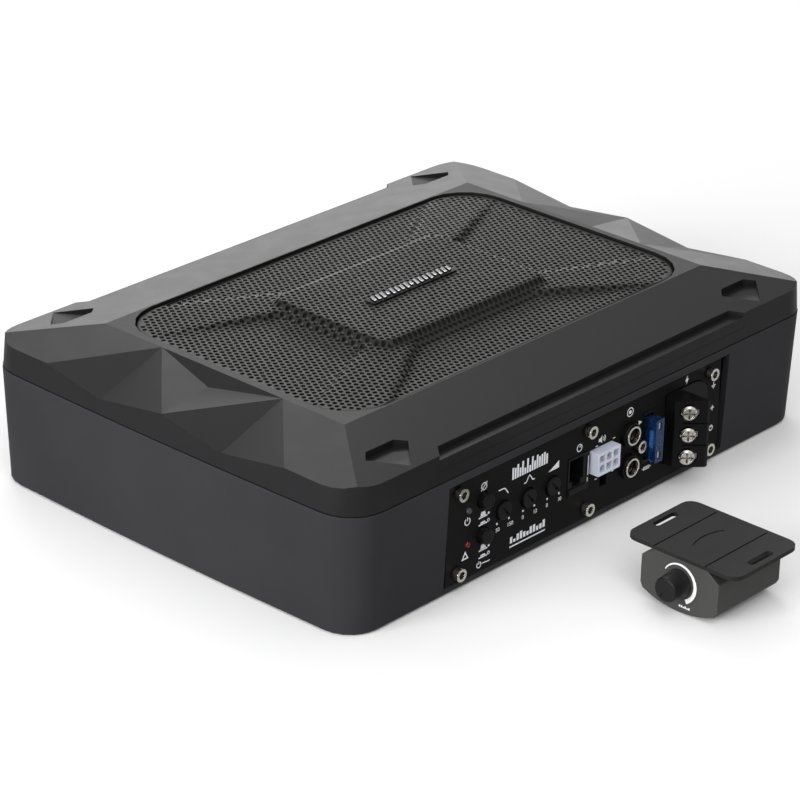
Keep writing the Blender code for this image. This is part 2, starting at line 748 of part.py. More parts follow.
def panel_cylinder(radius, low, high, x, z, sides=16):
    shape = turned(((radius, low), (radius, high)), sides)
    return add_object("tool", shape, place=on_panel(x, z), turn=TO_PANEL)


def panel_block(bounds, low, high, grow=0.0, name="tool", finish=None):
    """Box given by its (left, right, low, high) on the panel, from depth low to depth high outwards."""
    left, right, bottom, top = bounds
    shape = box(left - grow, right + grow, bottom - grow, top + grow, low, high)
    return add_object(name, shape, finish, place=on_panel(0, 0), turn=TO_PANEL)


def block_flange_outline(grow=0.0):
    """Front outline of the terminal block's flange: flat top with one rounded corner."""
    left = BLOCK_X - 0.4 - grow
    right = BLOCK_FLANGE_X + grow
    low = BLOCK_LOW - grow
    top = BLOCK_FLANGE_TOP + grow
    radius = BLOCK_FLANGE_R
    corner = []
    for i in range(6):
        angle = math.pi / 10 * i
        corner.append((right - radius + radius * math.cos(angle), top - radius + radius * math.sin(angle)))
    return [(left, low), (right, low)] + corner + [(left, top)]


def fuse_bounds(half_x, half_z):
    return (FUSE_X - half_x, FUSE_X + half_x, FUSE_Z - half_z, FUSE_Z + half_z)


def make_panel():
    sheet = (PANEL_LEFT, PANEL_RIGHT, PANEL_LOW, PANEL_TOP)
    panel = panel_block(sheet, -PANEL_SHEET, 0, name="control_panel", finish="painted_metal")
    tools = [panel_cylinder(1.8, -4, 4, x, z, 12) for x, z in PANEL_SCREWS]
    tools += [panel_cylinder(1.8, -4, 4, x, z, 12) for x, z in LEDS.values()]
    tools += [panel_cylinder(BUTTON_R + 0.35, -4, 4, x, z) for x, z in BUTTONS.values()]
    tools += [panel_cylinder(TRIMMER_R + 0.4, -4, 4, x, TRIMMER_Z) for x in TRIMMERS.values()]
    tools += [panel_cylinder(5.3, -4, 4, RCA_X, z) for z in RCA_Z.values()]
    tools.append(panel_block(REMOTE_SOCKET, -4, 4, GAP))
    tools.append(panel_block(HIGH_SOCKET, -4, 4, GAP))
    tools.append(panel_block(LATCH_NOTCH, -3.9, 3.9))
    tools.append(panel_block(fuse_bounds(*FUSE_HOLDER_HALF), -4, 4, GAP))
    arch = add_object("tool", prism(block_flange_outline(GAP), -4, 4), place=on_panel(0, 0), turn=TO_PANEL)
    tools.append(arch)
    cut(panel, tools)


def make_panel_screws():
    for number, (x, z) in enumerate(PANEL_SCREWS, 1):
        place = (x, PANEL_Y - GAP, z)
        sizes = (PANEL_SCREW_HEAD_R, PANEL_SCREW_HEAD_H, *PANEL_SCREW_SHANK)
        socket_screw(f"panel_screw_{number}", *sizes, "nickel", place, TO_PANEL)


def make_chassis():
    """Aluminium frame behind the panel: base plate, end walls and two rails that take the screws."""
    left, right = CHASSIS_X
    front, back = CHASSIS_Y
    low, base_top, top = CHASSIS_Z
    seat = base_top - 0.2
    rail_front = front + 0.2
    chassis = add_object("amp_chassis", box(left, right, front, back, low, base_top), "aluminium")
    parts = [
        box(left, left + CHASSIS_WALL, front + 0.1, back - 0.1, seat, top),
        box(right - CHASSIS_WALL, right - 0.1, front + 0.1, back - 0.1, seat, top),
        box(left + 1, right - 1, rail_front, RAIL_BACK_Y, seat, RAIL_LOW_TOP),
        box(left + 1, right - 1, rail_front, RAIL_BACK_Y, RAIL_HIGH_LOW, top - 0.1),
    ]
    join(chassis, [add_object("tool", part) for part in parts])
    edge_screws = [point for point in PANEL_SCREWS if point != PANEL_SCREWS[RCA_SCREW]]
    cut(chassis, [panel_cylinder(1.8, -10, 1, x, z, 12) for x, z in edge_screws])


def make_board():
    """Circuit board with its switch, trimmer cases and heat sink bar as one solid."""
    low, top = BOARD_Z
    front = BOARD_Y[0] + 0.1
    foot = top - 0.2
    board = add_object("amp_board", box(*BOARD_X, *BOARD_Y, low, top), "board")
    x, z = BUTTONS["phase_button"]
    parts = [box(x - SWITCH_HALF, x + SWITCH_HALF, front, SWITCH_BACK_Y, foot, z + 4)]
    for x in TRIMMERS.values():
        half = TRIMMER_CASE_HALF
        parts.append(box(x - half, x + half, front, TRIMMER_CASE_BACK_Y, foot, TRIMMER_Z + half))
    left, right, near, far, bar_top = HEAT_BAR
    parts.append(box(left, right, near, far, foot, bar_top))
    join(board, [add_object("tool", part) for part in parts])


def make_capacitors():
    edge_r = CAPACITOR_R - 0.7
    edge_z = CAPACITOR_H - 0.8
    profile = ((edge_r, 0), (CAPACITOR_R, 0.8), (CAPACITOR_R, edge_z), (edge_r, CAPACITOR_H))
    for number, x in enumerate(CAPACITOR_X, 1):
        place = (x, CAPACITOR_Y, BOARD_Z[1] + GAP)
        add_object(f"capacitor_{number}", turned(profile, 16), "black_plastic", place=place, smooth=True)


def make_rca():
    """Phono jack block: two round bosses with a ring groove each for the metal sleeves."""
    block = panel_block(RCA_BLOCK, -13, -PANEL_SHEET - GAP, name="rca_block", finish="black_plastic")
    join(block, [panel_cylinder(RCA_BOSS_R, -3, 2.3, RCA_X, z, 24) for z in RCA_Z.values()])
    tools = [panel_cylinder(1.8, -14, 0, *PANEL_SCREWS[RCA_SCREW], 12)]
    inner = RCA_SLEEVE_IN - 0.4
    outer = RCA_SLEEVE_OUT + 0.3
    annulus = ((inner, -8), (outer, -8), (outer, 4), (inner, 4))
    mouth = ((1.6, -7), (1.6, 1.2), (3.5, 1.2), (3.5, 6))
    for z in RCA_Z.values():
        for ring in (turned(annulus, 16, closed=True), turned(mouth, 16)):
            tools.append(add_object("tool", ring, place=on_panel(RCA_X, z), turn=TO_PANEL))
    cut(block, tools)
    low, high = RCA_SLEEVE_Z
    profile = ((RCA_SLEEVE_OUT, low), (RCA_SLEEVE_OUT, high), (RCA_SLEEVE_IN, high), (RCA_SLEEVE_IN, low))
    for side, z in RCA_Z.items():
        sleeve = turned(profile, 20, closed=True)
        add_object(f"rca_sleeve_{side}", sleeve, "nickel", on_panel(RCA_X, z), TO_PANEL, smooth=True)


def make_sockets():
    high = panel_block(HIGH_SOCKET, -9, 4.2, name="high_level_socket", finish="white_plastic")
    mid_x = (HIGH_SOCKET[0] + HIGH_SOCKET[1]) / 2
    mid_z = (HIGH_SOCKET[2] + HIGH_SOCKET[3]) / 2
    tools = []
    for column in (-1, 0, 1):
        for row in (-0.5, 0.5):
            x = mid_x + column * PIN_PITCH
            z = mid_z + row * PIN_PITCH
            half = PIN_HOLE_HALF
            tools.append(panel_block((x - half, x + half, z - half, z + half), 0, 6))
    cut(high, tools)
    remote = panel_block(REMOTE_SOCKET, -14, 0.3, name="remote_socket", finish="black_plastic")
    cut(remote, [panel_block(REMOTE_MOUTH, -11, 3)])


def make_fuse():
    holder = panel_block(fuse_bounds(*FUSE_HOLDER_HALF), -17, 0.2, name="fuse_holder", finish="black_plastic")
    tools = [panel_block(fuse_bounds(*FUSE_WELL_HALF), -7, 3)]
    body = panel_block(fuse_bounds(*FUSE_HALF), -6.4, FUSE_OUT, name="fuse", finish="blue_plastic")
    blades = []
    thin, wide = FUSE_BLADE_HALF
    for side in (1, -1):
        middle = FUSE_Z + side * FUSE_BLADE_STEP
        hole = (FUSE_X - thin - 0.45, FUSE_X + thin + 0.45, middle - wide - 0.4, middle + wide + 0.4)
        tools.append(panel_block(hole, FUSE_BLADE_BACK - 1, -6))
        blade = (FUSE_X - thin, FUSE_X + thin, middle - wide, middle + wide)
        blades.append(panel_block(blade, FUSE_BLADE_BACK, -6))
    cut(holder, tools)
    join(body, blades)


def bay_middle(number):
    """Height of bay 1, 2 or 3, counted from the top."""
    return BLOCK_LOW + BAY * (3 - number + 0.5)


def screw_face_point(number):
    """Middle of a bay on the 45 degree face, in world millimetres."""
    run = FACE_SCREW * math.sin(math.pi / 4)
    return (BLOCK_X + run, PANEL_Y - BLOCK_OUT - run, bay_middle(number))


def make_terminal_block():
    flange = prism(block_flange_outline(), -PANEL_SHEET, BLOCK_FLANGE_OUT)
    block = add_object("terminal_block", flange, "black_plastic", on_panel(0, 0), TO_PANEL)
    top = BLOCK_LOW + 3 * BAY
    plan = [(BLOCK_X, PANEL_Y + 1), (BLOCK_X, PANEL_Y - BLOCK_OUT),
            (BLOCK_X + FACE_RUN, PANEL_Y - BLOCK_OUT - FACE_RUN),
            (BLOCK_BACK_X, PANEL_Y - BLOCK_OUT - FACE_RUN), (BLOCK_BACK_X, PANEL_Y + 1)]
    front = add_object("tool", prism(plan, BLOCK_LOW + 0.01, top))
    rear = panel_block((BLOCK_X + 0.4, 60.0, BLOCK_LOW + 0.4, 38.0), -11, -1)
    join(block, [front, rear])
    tools = []
    bore_r = TERMINAL_SHANK_R + GAP + 0.1
    bore = ((bore_r, -10), (bore_r, -FACE_RECESS), (FACE_RECESS_R, -FACE_RECESS), (FACE_RECESS_R, 3))
    near, far, half = CLAMP_TAB
    for number in (1, 2, 3):
        place = screw_face_point(number)
        notch = box(near, far + 0.35, -half - 0.35, half + 0.35, 0.05 - FACE_RECESS, 3)
        for shape in (turned(bore, 20), notch):
            tools.append(add_object("tool", shape, place=place, turn=TO_SCREW_FACE))
        z = bay_middle(number)
        entry = box(51.2, 58, PANEL_Y - 10.5, PANEL_Y - 3.5, z - 3.2, z + 3.2)
        tools.append(add_object("tool", entry))
    for z in (BLOCK_LOW + BAY, BLOCK_LOW + 2 * BAY):
        slit = box(-2.2, 8.5, -0.35, 0.35, -0.8, 3)
        x, y, _ = screw_face_point(1)
        tools.append(add_object("tool", slit, place=(x, y, z), turn=TO_SCREW_FACE))
    cut(block, tools)


def make_clamp_plates():
    """Round washers with a short tab that stops them turning."""
    bore_r = TERMINAL_SHANK_R + GAP
    washer = ((CLAMP_R, CLAMP_LOW), (CLAMP_R, CLAMP_TOP), (bore_r, CLAMP_TOP), (bore_r, CLAMP_LOW))
    near, far, half = CLAMP_TAB
    for number in (1, 2, 3):
        place = screw_face_point(number)
        shape = turned(washer, 20, closed=True)
        plate = add_object(f"clamp_plate_{number}", shape, "nickel", place, TO_SCREW_FACE, smooth=True)
        tab = box(near + 0.5, far, -half, half, CLAMP_LOW, CLAMP_TOP)
        join(plate, [add_object("tool", tab, place=place, turn=TO_SCREW_FACE)])


def make_terminal_screws():
    """Dished screw heads with one long and one short slot."""
    shank = ((TERMINAL_SHANK_R, -7.5), (TERMINAL_SHANK_R, -0.1))
    rim = TERMINAL_HEAD_R - 0.7
    head = ((TERMINAL_HEAD_R, -0.1), (TERMINAL_HEAD_R, 1.2), (rim, 2.0), (rim - 0.4, 2.0), (rim - 0.7, 1.6))
    for number in (1, 2, 3):
        place = screw_face_point(number)
        shape = turned(shank + head, 20)
        screw = add_object(f"terminal_screw_{number}", shape, "nickel", place, TO_SCREW_FACE, smooth=True)
        slots = [box(-4, 4, -0.4, 0.4, 1.1, 3), box(-0.4, 0.4, -2.2, 2.2, 0.9, 3)]
        cut(screw, [add_object("tool", slot, place=place, turn=TO_SCREW_FACE) for slot in slots])


def make_leds():
    profile = ((1.9, -6), (1.9, -5), (1.5, -5), (1.5, 0), (1.1, 0.8), (0.4, 1.1))
    for name, (x, z) in LEDS.items():
        finish = "red_lens" if name == "protect_led" else "clear_lens"
        add_object(name, turned(profile, 12), finish, on_panel(x, z), TO_PANEL, smooth=True)


def make_buttons():
    profile = ((1.6, -4.2), (1.6, -3.6), (BUTTON_R, -3.6), (BUTTON_R, 3.1), (BUTTON_R - 0.4, 3.5))
    for name, (x, z) in BUTTONS.items():
        add_object(name, turned(profile, 16), "black_plastic", on_panel(x, z), TO_PANEL, smooth=True)


def make_trimmers():
    profile = ((1.8, -6.7), (1.8, -3), (TRIMMER_R, -3), (TRIMMER_R, 1.2), (TRIMMER_R - 0.3, 1.5))
    for name, x in TRIMMERS.items():
        place = on_panel(x, TRIMMER_Z)
        rotor = add_object(name, turned(profile, 16), "black_plastic", place, TO_PANEL, smooth=True)
        slot = prism(bar(-3, 3, 0.5, TRIMMER_SLOT), 0.7, 3)
        cut(rotor, [add_object("tool", slot, place=place, turn=TO_PANEL)])


# ---------------------------------------------------------------- wired remote

def remote_profile():
    """Front outline of the remote: flat top, chamfers, straight sides and a curved belly."""
    low, high = REMOTE_SIDE
    radius = (REMOTE_HALF ** 2 + low ** 2) / (2 * low)
    reach = 0.93 * math.asin(REMOTE_HALF / radius)
    belly = []
    for i in range(11):
        angle = reach * (i / 5 - 1)
        belly.append((radius * math.sin(angle), radius * (1 - math.cos(angle))))
    left = [(-REMOTE_FLAT, REMOTE_TOP), (-REMOTE_HALF, high), (-REMOTE_HALF, low + REMOTE_CHEEK)]
    right = [(-y, z) for y, z in reversed(left)]
    return left + belly + right


def thumb_arc():
    """Plan of the shallow curved mark on the bracket, relative to the bracket's middle."""
    x, y, radius = THUMB_ARC
    first, last = THUMB_ANGLES
    angles = [math.radians(first + (last - first) * i / 6) for i in range(7)]
    outer = [(x + (radius + LINE_HALF) * math.cos(a), y + (radius + LINE_HALF) * math.sin(a)) for a in angles]
    inner = [(x + (radius - LINE_HALF) * math.cos(a), y + (radius - LINE_HALF) * math.sin(a)) for a in angles]
    return outer + inner[::-1]


def make_bracket():
    """Slotted plate on top of the remote, with two straight lines and a curved mark pressed into it."""
    low = REMOTE_TOP + GAP
    high = low + BRACKET_SHEET
    half_x = (REMOTE_BACK - REMOTE_FRONT + 1) / 2
    middle = ((REMOTE_FRONT + REMOTE_BACK) / 2, REMOTE_Y, 0)
    plate = prism(rounded_rectangle(half_x, BRACKET_HALF, 5.0, 4), low, high)
    bracket = add_object("remote_bracket", plate, "black_plastic", place=middle, smooth=True)
    tools = [prism(thumb_arc(), high - LINE_DEEP, high + 1)]
    for side in (1, -1):
        slot = [(x, y + side * SLOT_Y) for x, y in rounded_rectangle(7.0, 1.6, 1.5, 3)]
        tools.append(prism(slot, low - 2, high + 2))
        y = side * LINE_Y
        line = rectangle(-half_x - 1, half_x - 1.5, y - LINE_HALF, y + LINE_HALF)
        tools.append(prism(line, high - LINE_DEEP, high + 1))
    cut(bracket, [add_object("tool", tool, place=middle) for tool in tools])


def make_remote():
    profile = remote_profile()
    ends = [[(x, REMOTE_Y + y, z) for y, z in profile] for x in (REMOTE_FRONT, REMOTE_BACK)]
    housing = add_object("remote_housing", loft(ends), "black_plastic", smooth=True)
    front, back = REMOTE_FRONT + REMOTE_WALL, REMOTE_BACK - REMOTE_WALL
    cavity = box(front, back, REMOTE_Y - 11, REMOTE_Y + 11, 4.5, 25)
    knob_place = (REMOTE_FRONT, REMOTE_Y, KNOB_Z)
    shaft_hole = turned(((2.4, -5), (2.4, 5)), 12)
    cable_hole = turned(((2.5, -45), (2.5, -30)), 12)
    cut(housing, [
        add_object("tool", cavity),
        add_object("tool", shaft_hole, place=knob_place, turn=TO_REMOTE_FRONT),
        add_object("tool", cable_hole, place=knob_place, turn=TO_REMOTE_FRONT),
    ])
    make_bracket()
    knob_profile = ((2.0, -7.5), (2.0, 0.4), (5.9, 0.4), (5.4, 4.2), (5.1, KNOB_OUT - 0.5), (4.6, KNOB_OUT))
    shape = turned(knob_profile, 24)
    knob = add_object("remote_knob", shape, "black_plastic", knob_place, TO_REMOTE_FRONT, smooth=True)
    mark = prism(bar(1.6, 6, 0.35, KNOB_MARK), KNOB_OUT - 0.6, KNOB_OUT + 2)
    cut(knob, [add_object("tool", mark, place=knob_place, turn=TO_REMOTE_FRONT)])
    case = box(REMOTE_FRONT + 3, REMOTE_FRONT + 12, REMOTE_Y - 6, REMOTE_Y + 6, 5.2, 19)
    pot = add_object("remote_pot", case, "steel")
    shaft_bore = turned(((2.3, -8.5), (2.3, 0)), 12)
    cut(pot, [add_object("tool", shaft_bore, place=knob_place, turn=TO_REMOTE_FRONT)])


# ---------------------------------------------------------------- build

clear_scene()
make_tub()
make_lid()
make_lid_gasket()
make_lid_screws()
make_grille()
make_badge()
make_basket()
make_woofer_gasket()
make_surround()
make_cone()
make_dust_cap()
make_voice_coil()
make_spider()
make_magnet_system()
make_woofer_screws()
make_panel()
make_panel_screws()
make_chassis()
make_board()
make_capacitors()
make_rca()
make_sockets()
make_fuse()
make_terminal_block()
make_clamp_plates()
make_terminal_screws()
make_leds()
make_buttons()
make_trimmers()
make_remote()
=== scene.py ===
"""Looks of a powered car subwoofer and its wired level remote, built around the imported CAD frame.

Lengths are millimetres unless a comment says metres; meshes become metres when they are made.
"""

import json
import math

import bmesh
import bpy
from mathutils import Matrix, Vector
from mathutils.geometry import tessellate_polygon


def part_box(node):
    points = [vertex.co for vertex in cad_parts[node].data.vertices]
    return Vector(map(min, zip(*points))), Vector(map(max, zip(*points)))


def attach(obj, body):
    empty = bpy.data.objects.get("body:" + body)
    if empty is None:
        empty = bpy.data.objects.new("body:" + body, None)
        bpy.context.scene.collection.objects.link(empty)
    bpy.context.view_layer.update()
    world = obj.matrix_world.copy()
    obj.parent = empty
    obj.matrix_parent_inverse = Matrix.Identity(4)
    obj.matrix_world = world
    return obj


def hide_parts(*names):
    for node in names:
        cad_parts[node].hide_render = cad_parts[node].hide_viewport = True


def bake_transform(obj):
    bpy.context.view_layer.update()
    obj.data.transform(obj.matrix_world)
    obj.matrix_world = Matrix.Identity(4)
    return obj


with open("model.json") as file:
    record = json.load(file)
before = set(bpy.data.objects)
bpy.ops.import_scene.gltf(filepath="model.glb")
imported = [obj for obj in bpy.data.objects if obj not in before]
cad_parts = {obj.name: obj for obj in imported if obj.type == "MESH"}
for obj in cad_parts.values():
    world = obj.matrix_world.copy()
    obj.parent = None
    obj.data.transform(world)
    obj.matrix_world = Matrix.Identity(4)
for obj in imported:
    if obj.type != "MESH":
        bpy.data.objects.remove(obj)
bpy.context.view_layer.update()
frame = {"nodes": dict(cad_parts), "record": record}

MM = 0.001


def node_box(name):
    """Lowest and highest corner of a CAD node in millimetres."""
    return [tuple(round(value / MM, 2) for value in corner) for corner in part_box(name)]


# Camera: place in metres, view direction, roll in degrees, lens in millimetres on a 36 mm sensor
CAMERA_PLACE = (-0.9154, -0.8259, 0.6048)
CAMERA_FORWARD = (0.67910, 0.59567, -0.42895)
CAMERA_ROLL = 1.585
CAMERA_LENS = 148.5
CAMERA_SHIFT = (-0.0630, 0.0038)

# Room light by height of the view direction: -1 straight down, 0 at the horizon, 1 overhead
WORLD_LIGHT = ((-1.0, 0.5), (-0.05, 0.5), (0.02, 0.75), (0.1, 0.3), (0.25, 0.28), (0.42, 0.48), (0.62, 0.64),
               (0.76, 0.5), (0.9, 0.8), (1.0, 1.2))

# Softboxes: name, place and target in metres, width and height in metres, watts
SOFTBOXES = (
    ("softbox_back", (0.85, 1.15, 1.3), (0, 0, 0), 0.9, 0.7, 6.5),
    ("softbox_rear", (1.75, 2.05, 0.52), (0, 0, 0.06), 2.4, 0.5, 15.0),
    ("softbox_left", (-1.9, 0.2, 0.6), (0, 0, 0.03), 1.2, 0.9, 41.0),
    ("softbox_front", (-0.9, -1.3, 1.7), (0, 0, 0), 1.4, 1.4, 18.0),
)

# Tints of the greys
WARM = (1.0, 0.99, 0.96)
COOL = (0.98, 0.98, 1.06)

# Casing, from the tub's box: half sizes without the bow of its short sides, and corner radius
CASING_BOW = 1.24
CASING_CORNER = 16.7
CASING_HALF = (round(node_box("tub")[1][0] - CASING_BOW, 2), node_box("tub")[1][1])

# Grille sheet: pad, edge and arms are drawn in plan; GRILLE_STEEP is the slope of the embossed sides
# GRILLE_PAD and GRILLE_EDGE hold half x, half y and corner radius
GRILLE_PITCH = 2.82
GRILLE_HOLE_R = 1.06
GRILLE_THICK = 0.9
GRILLE_PAD_RISE = 4.3
GRILLE_ARM_RISE = 2.0
GRILLE_LEDGE = 2.0
GRILLE_LEDGE_WIDE = 2.0
GRILLE_STEEP = 1.6
GRILLE_SOFT = 0.6
GRILLE_RIM = 0.6
GRILLE_FOLD_Z = node_box("grille")[0][2]
GRILLE_BASE_Z = round(node_box("grille")[1][2] - GRILLE_PAD_RISE, 2)
GRILLE_PAD = (48.5, 31.2, 5.0)
GRILLE_EDGE = (*node_box("grille")[1][:2], 20.9)
ARM_FEET = (((34.0, 35.5), (78.0, 63.0)), ((52.8, 22.0), (101.0, 43.5)))
ARM_AXIS = ((48.5, 31.2), (98.0, 58.0))

# Badge on the grille
BADGE_HALF = node_box("grille_badge")[1][:2]
BADGE_LOW = node_box("grille_badge")[0][2]
BADGE_TOP = node_box("grille_badge")[1][2]
BADGE_STRIP = 0.45
BADGE_BARS = 17
BADGE_PITCH = 2.8

# Woofer: sides of its rings, then the sizes that the CAD boxes don't give
RING_SIDES = 96
ROLL_MIDDLE = 10.6
ROLL_HALF = 4.4
ROLL_DEPTH = 5.2
SURROUND_WIDTH = 18.4
SURROUND_THICK = 0.8
SPIDER_HOLE = 25.8
SPIDER_Z = 34.6
SPIDER_WAVE = 1.0
CONE_NECK = 25.9
CONE_THICK = 1.0
CONE_RIB = 0.35
CAP_THICK = 1.1

# Fronts that print and small parts stand on
PANEL_Y = node_box("control_panel")[0][1]
REMOTE_FRONT = node_box("remote_housing")[0][0]
REMOTE_Y = round((node_box("remote_housing")[0][1] + node_box("remote_housing")[1][1]) / 2, 2)
KNOB_Z = round((node_box("remote_knob")[0][2] + node_box("remote_knob")[1][2]) / 2, 2)

# Print: thickness of the ink, width of fine lines, size of the numbers, and how much the signs are grown
INK = 0.06
LINE = 0.28
DIGIT_SIZE = 2.4
SIGN_GROW = 1.35


# ---- materials

def feed(tree, socket, value):
    """Links an output to a socket, or sets the socket's value."""
    if isinstance(value, bpy.types.NodeSocket):
        tree.links.new(value, socket)
    else:
        socket.default_value = value


def new_node(tree, kind, inputs=(), **settings):
    """Adds a node and feeds its inputs from (input, value or output) pairs."""
    made = tree.nodes.new(kind)
    for key, value in settings.items():
        setattr(made, key, value)
    for key, value in inputs:
        feed(tree, made.inputs[key], value)
    return made


class Finish:
    """A Principled material and short calls to wire its procedural detail."""

    def __init__(self, name):
        self.material = bpy.data.materials.new(name)
        self.material.use_nodes = True
        self.tree = self.material.node_tree
        self.shader = self.tree.nodes["Principled BSDF"]
        self.place = self.node("ShaderNodeTexCoord").outputs["Object"]
        self.normal = None

    def node(self, kind, *inputs, **settings):
        return new_node(self.tree, kind, inputs, **settings)

    def noise(self, size, detail=2.0, roughness=0.5, stretch=None):
        """Noise between 0 and 1 whose features are about size millimetres across."""
        place = self.place
        if stretch:
            place = self.node("ShaderNodeMapping", ("Vector", place), ("Scale", stretch)).outputs["Vector"]
        return self.node("ShaderNodeTexNoise", ("Vector", place), ("Scale", 1.0 / (size * MM)),
                         ("Detail", detail), ("Roughness", roughness)).outputs["Fac"]

    def cells(self, size):
        """Distance to the middle of cells of about size millimetres."""
        return self.node("ShaderNodeTexVoronoi", ("Vector", self.place),
                         ("Scale", 1.0 / (size * MM))).outputs["Distance"]

    def bands(self, direction, width, distortion=0.0):
        """Waves of width millimetres across a direction."""
        return self.node("ShaderNodeTexWave", ("Vector", self.place), ("Distortion", distortion),
                         ("Scale", 1.0 / (width * MM * 2 * math.pi)),
                         wave_type="BANDS", bands_direction=direction).outputs["Fac"]

    def span(self, value, low, high, first=0.0, last=1.0):
        """Maps value from low..high to first..last, clamped."""
        return self.node("ShaderNodeMapRange", ("Value", value), ("From Min", low), ("From Max", high),
                         ("To Min", first), ("To Max", last)).outputs["Result"]

    def multiply(self, first, second):
        return self.node("ShaderNodeMath", (0, first), (1, second), operation="MULTIPLY").outputs["Value"]

    def blend(self, share, first, second):
        """Mixes two colours."""
        made = self.node("ShaderNodeMix", ("Factor", share), data_type="RGBA")
        colours = [socket for socket in made.inputs if socket.type == "RGBA"]
        feed(self.tree, colours[0], first)
        feed(self.tree, colours[1], second)
        return next(socket for socket in made.outputs if socket.type == "RGBA")

    def shades(self, mask, low, high, colour, dark, bright):
        """Runs from the darkened to the brightened colour as mask goes from low to high."""
        return self.blend(self.span(mask, low, high), scaled(colour, dark), scaled(colour, bright))

    def edges(self, radius, gain):
        """Mask that is bright near sharp edges: for painted highlights along edges, and for the ferrite's
        chipped edges.
        """
        rounded = self.node("ShaderNodeBevel", ("Radius", radius * MM), samples=4).outputs["Normal"]
        flat = self.node("ShaderNodeNewGeometry").outputs["Normal"]
        dot = self.node("ShaderNodeVectorMath", (0, rounded), (1, flat), operation="DOT_PRODUCT")
        return self.span(dot.outputs["Value"], 1.0 - gain, 1.0, 1.0, 0.0)

    def openness(self, reach):
        """Near 0 deep inside recesses, 1 on open faces: the mask for painted shade in hollows."""
        made = self.node("ShaderNodeAmbientOcclusion", ("Distance", reach * MM), samples=6)
        return self.span(made.outputs["AO"], 0.35, 0.85)

    def bump(self, height, depth):
        """Adds relief of depth millimetres."""
        made = self.node("ShaderNodeBump", ("Distance", depth * MM), ("Strength", 1.0), ("Height", height))
        if self.normal is not None:
            feed(self.tree, made.inputs["Normal"], self.normal)
        self.normal = made.outputs["Normal"]

    def finish(self, colour, roughness, gloss=0.5, **extra):
        """Wires the shader and hands over the material; extra names other shader inputs."""
        inputs = {"Base Color": colour, "Roughness": roughness, "Specular IOR Level": gloss,
                  "Normal": self.normal}
        inputs.update({key.replace("_", " "): value for key, value in extra.items()})
        for key, value in inputs.items():
            if value is not None:
                feed(self.tree, self.shader.inputs[key], value)
        return self.material


def rgb(value, tint=(1.0, 1.0, 1.0)):
    return (value * tint[0], value * tint[1], value * tint[2], 1.0)


def scaled(colour, factor):
    return tuple(min(1.0, c * factor) for c in colour[:3]) + (1.0,)


def moulded(name, colour, roughness=0.5, grain=0.5, depth=0.012, mottle=0.05, edge_highlight_gain=1.2, **extra):
    """Moulded plastic: fine grain, faint cloudiness, and a painted highlight along the edges, broken up by
    noise.
    """
    f = Finish(name)
    cloudy = f.shades(f.noise(34.0, 3.0), 0.3, 0.7, colour, 1 - mottle, 1 + mottle)
    # painted highlight: the colour is made paler along sharp edges, where rounded edges would catch the light
    edge_highlight_mask = f.multiply(f.edges(0.5, 0.35), f.span(f.noise(6.0, 3.0), 0.35, 0.7, 0.35, 1.0))
    shown = f.blend(edge_highlight_mask, cloudy, scaled(colour, 1 + edge_highlight_gain))
    soft = f.span(f.noise(9.0, 4.0), 0.3, 0.7, roughness - 0.02, roughness + 0.02)
    f.bump(f.noise(grain), depth)
    return f.finish(shown, soft, **extra)


def powder_coat(name, colour, roughness=0.5, **extra):
    """Baked paint on sheet metal: orange peel waves under a fine tooth, and a painted highlight along its
    edges.
    """
    f = Finish(name)
    cloudy = f.shades(f.noise(60.0, 3.0), 0.3, 0.7, colour, 0.9, 1.1)
    specks = f.span(f.cells(0.9), 0.0, 0.25, 0.7, 0.0)
    rare = f.multiply(specks, f.span(f.noise(5.0, 1.0), 0.62, 0.7))
    shown = f.blend(rare, cloudy, scaled(colour, 1.7))
    # painted highlight: the colour is brightened along sharp edges
    shown = f.blend(f.edges(0.6, 0.4), shown, scaled(colour, 2.1))
    soft = f.span(f.noise(14.0, 4.0), 0.3, 0.7, roughness - 0.04, roughness + 0.05)
    f.bump(f.noise(2.6), 0.014)
    f.bump(f.noise(0.6, 1.0), 0.010)
    return f.finish(shown, soft, **extra)


def metal(name, colour, roughness=0.25, grain=(1.0, 1.0, 1.0), size=0.5, tarnish=0.25, **extra):
    """Bare or plated metal: drawn or turned marks, faint tarnish, a painted highlight along the edges and
    painted shade deep in recesses.
    """
    f = Finish(name)
    marks = f.noise(size, 3.0, 0.6, grain)
    dull = f.shades(f.noise(2.4, 3.0), 0.35, 0.75, colour, 1.0, 1 - tarnish)
    # painted highlight: the colour is brightened along sharp edges
    shown = f.blend(f.edges(0.2, 0.5), dull, scaled(colour, 1.15))
    # painted shade: the colour darkens nearly to black deep inside recesses, as in the sockets
    shown = f.blend(f.openness(2.5), scaled(colour, 0.06), shown)
    soft = f.span(marks, 0.25, 0.75, roughness * 0.75, roughness * 1.35)
    f.bump(marks, 0.006)
    return f.finish(shown, soft, Metallic=1.0, **extra)


def painted_sheet(name, colour, roughness, **extra):
    """Thin satin paint on perforated sheet, with a painted highlight along the hole rims."""
    f = Finish(name)
    shown = f.shades(f.noise(5.0, 4.0), 0.35, 0.7, colour, 0.85, 1.2)
    # painted highlight: the colour is brightened along the hole rims and other sharp edges
    shown = f.blend(f.edges(0.25, 0.5), shown, scaled(colour, 1.8))
    f.bump(f.noise(0.5), 0.008)
    soft = f.span(f.noise(3.0, 3.0), 0.3, 0.7, roughness - 0.04, roughness + 0.05)
    return f.finish(shown, soft, **extra)


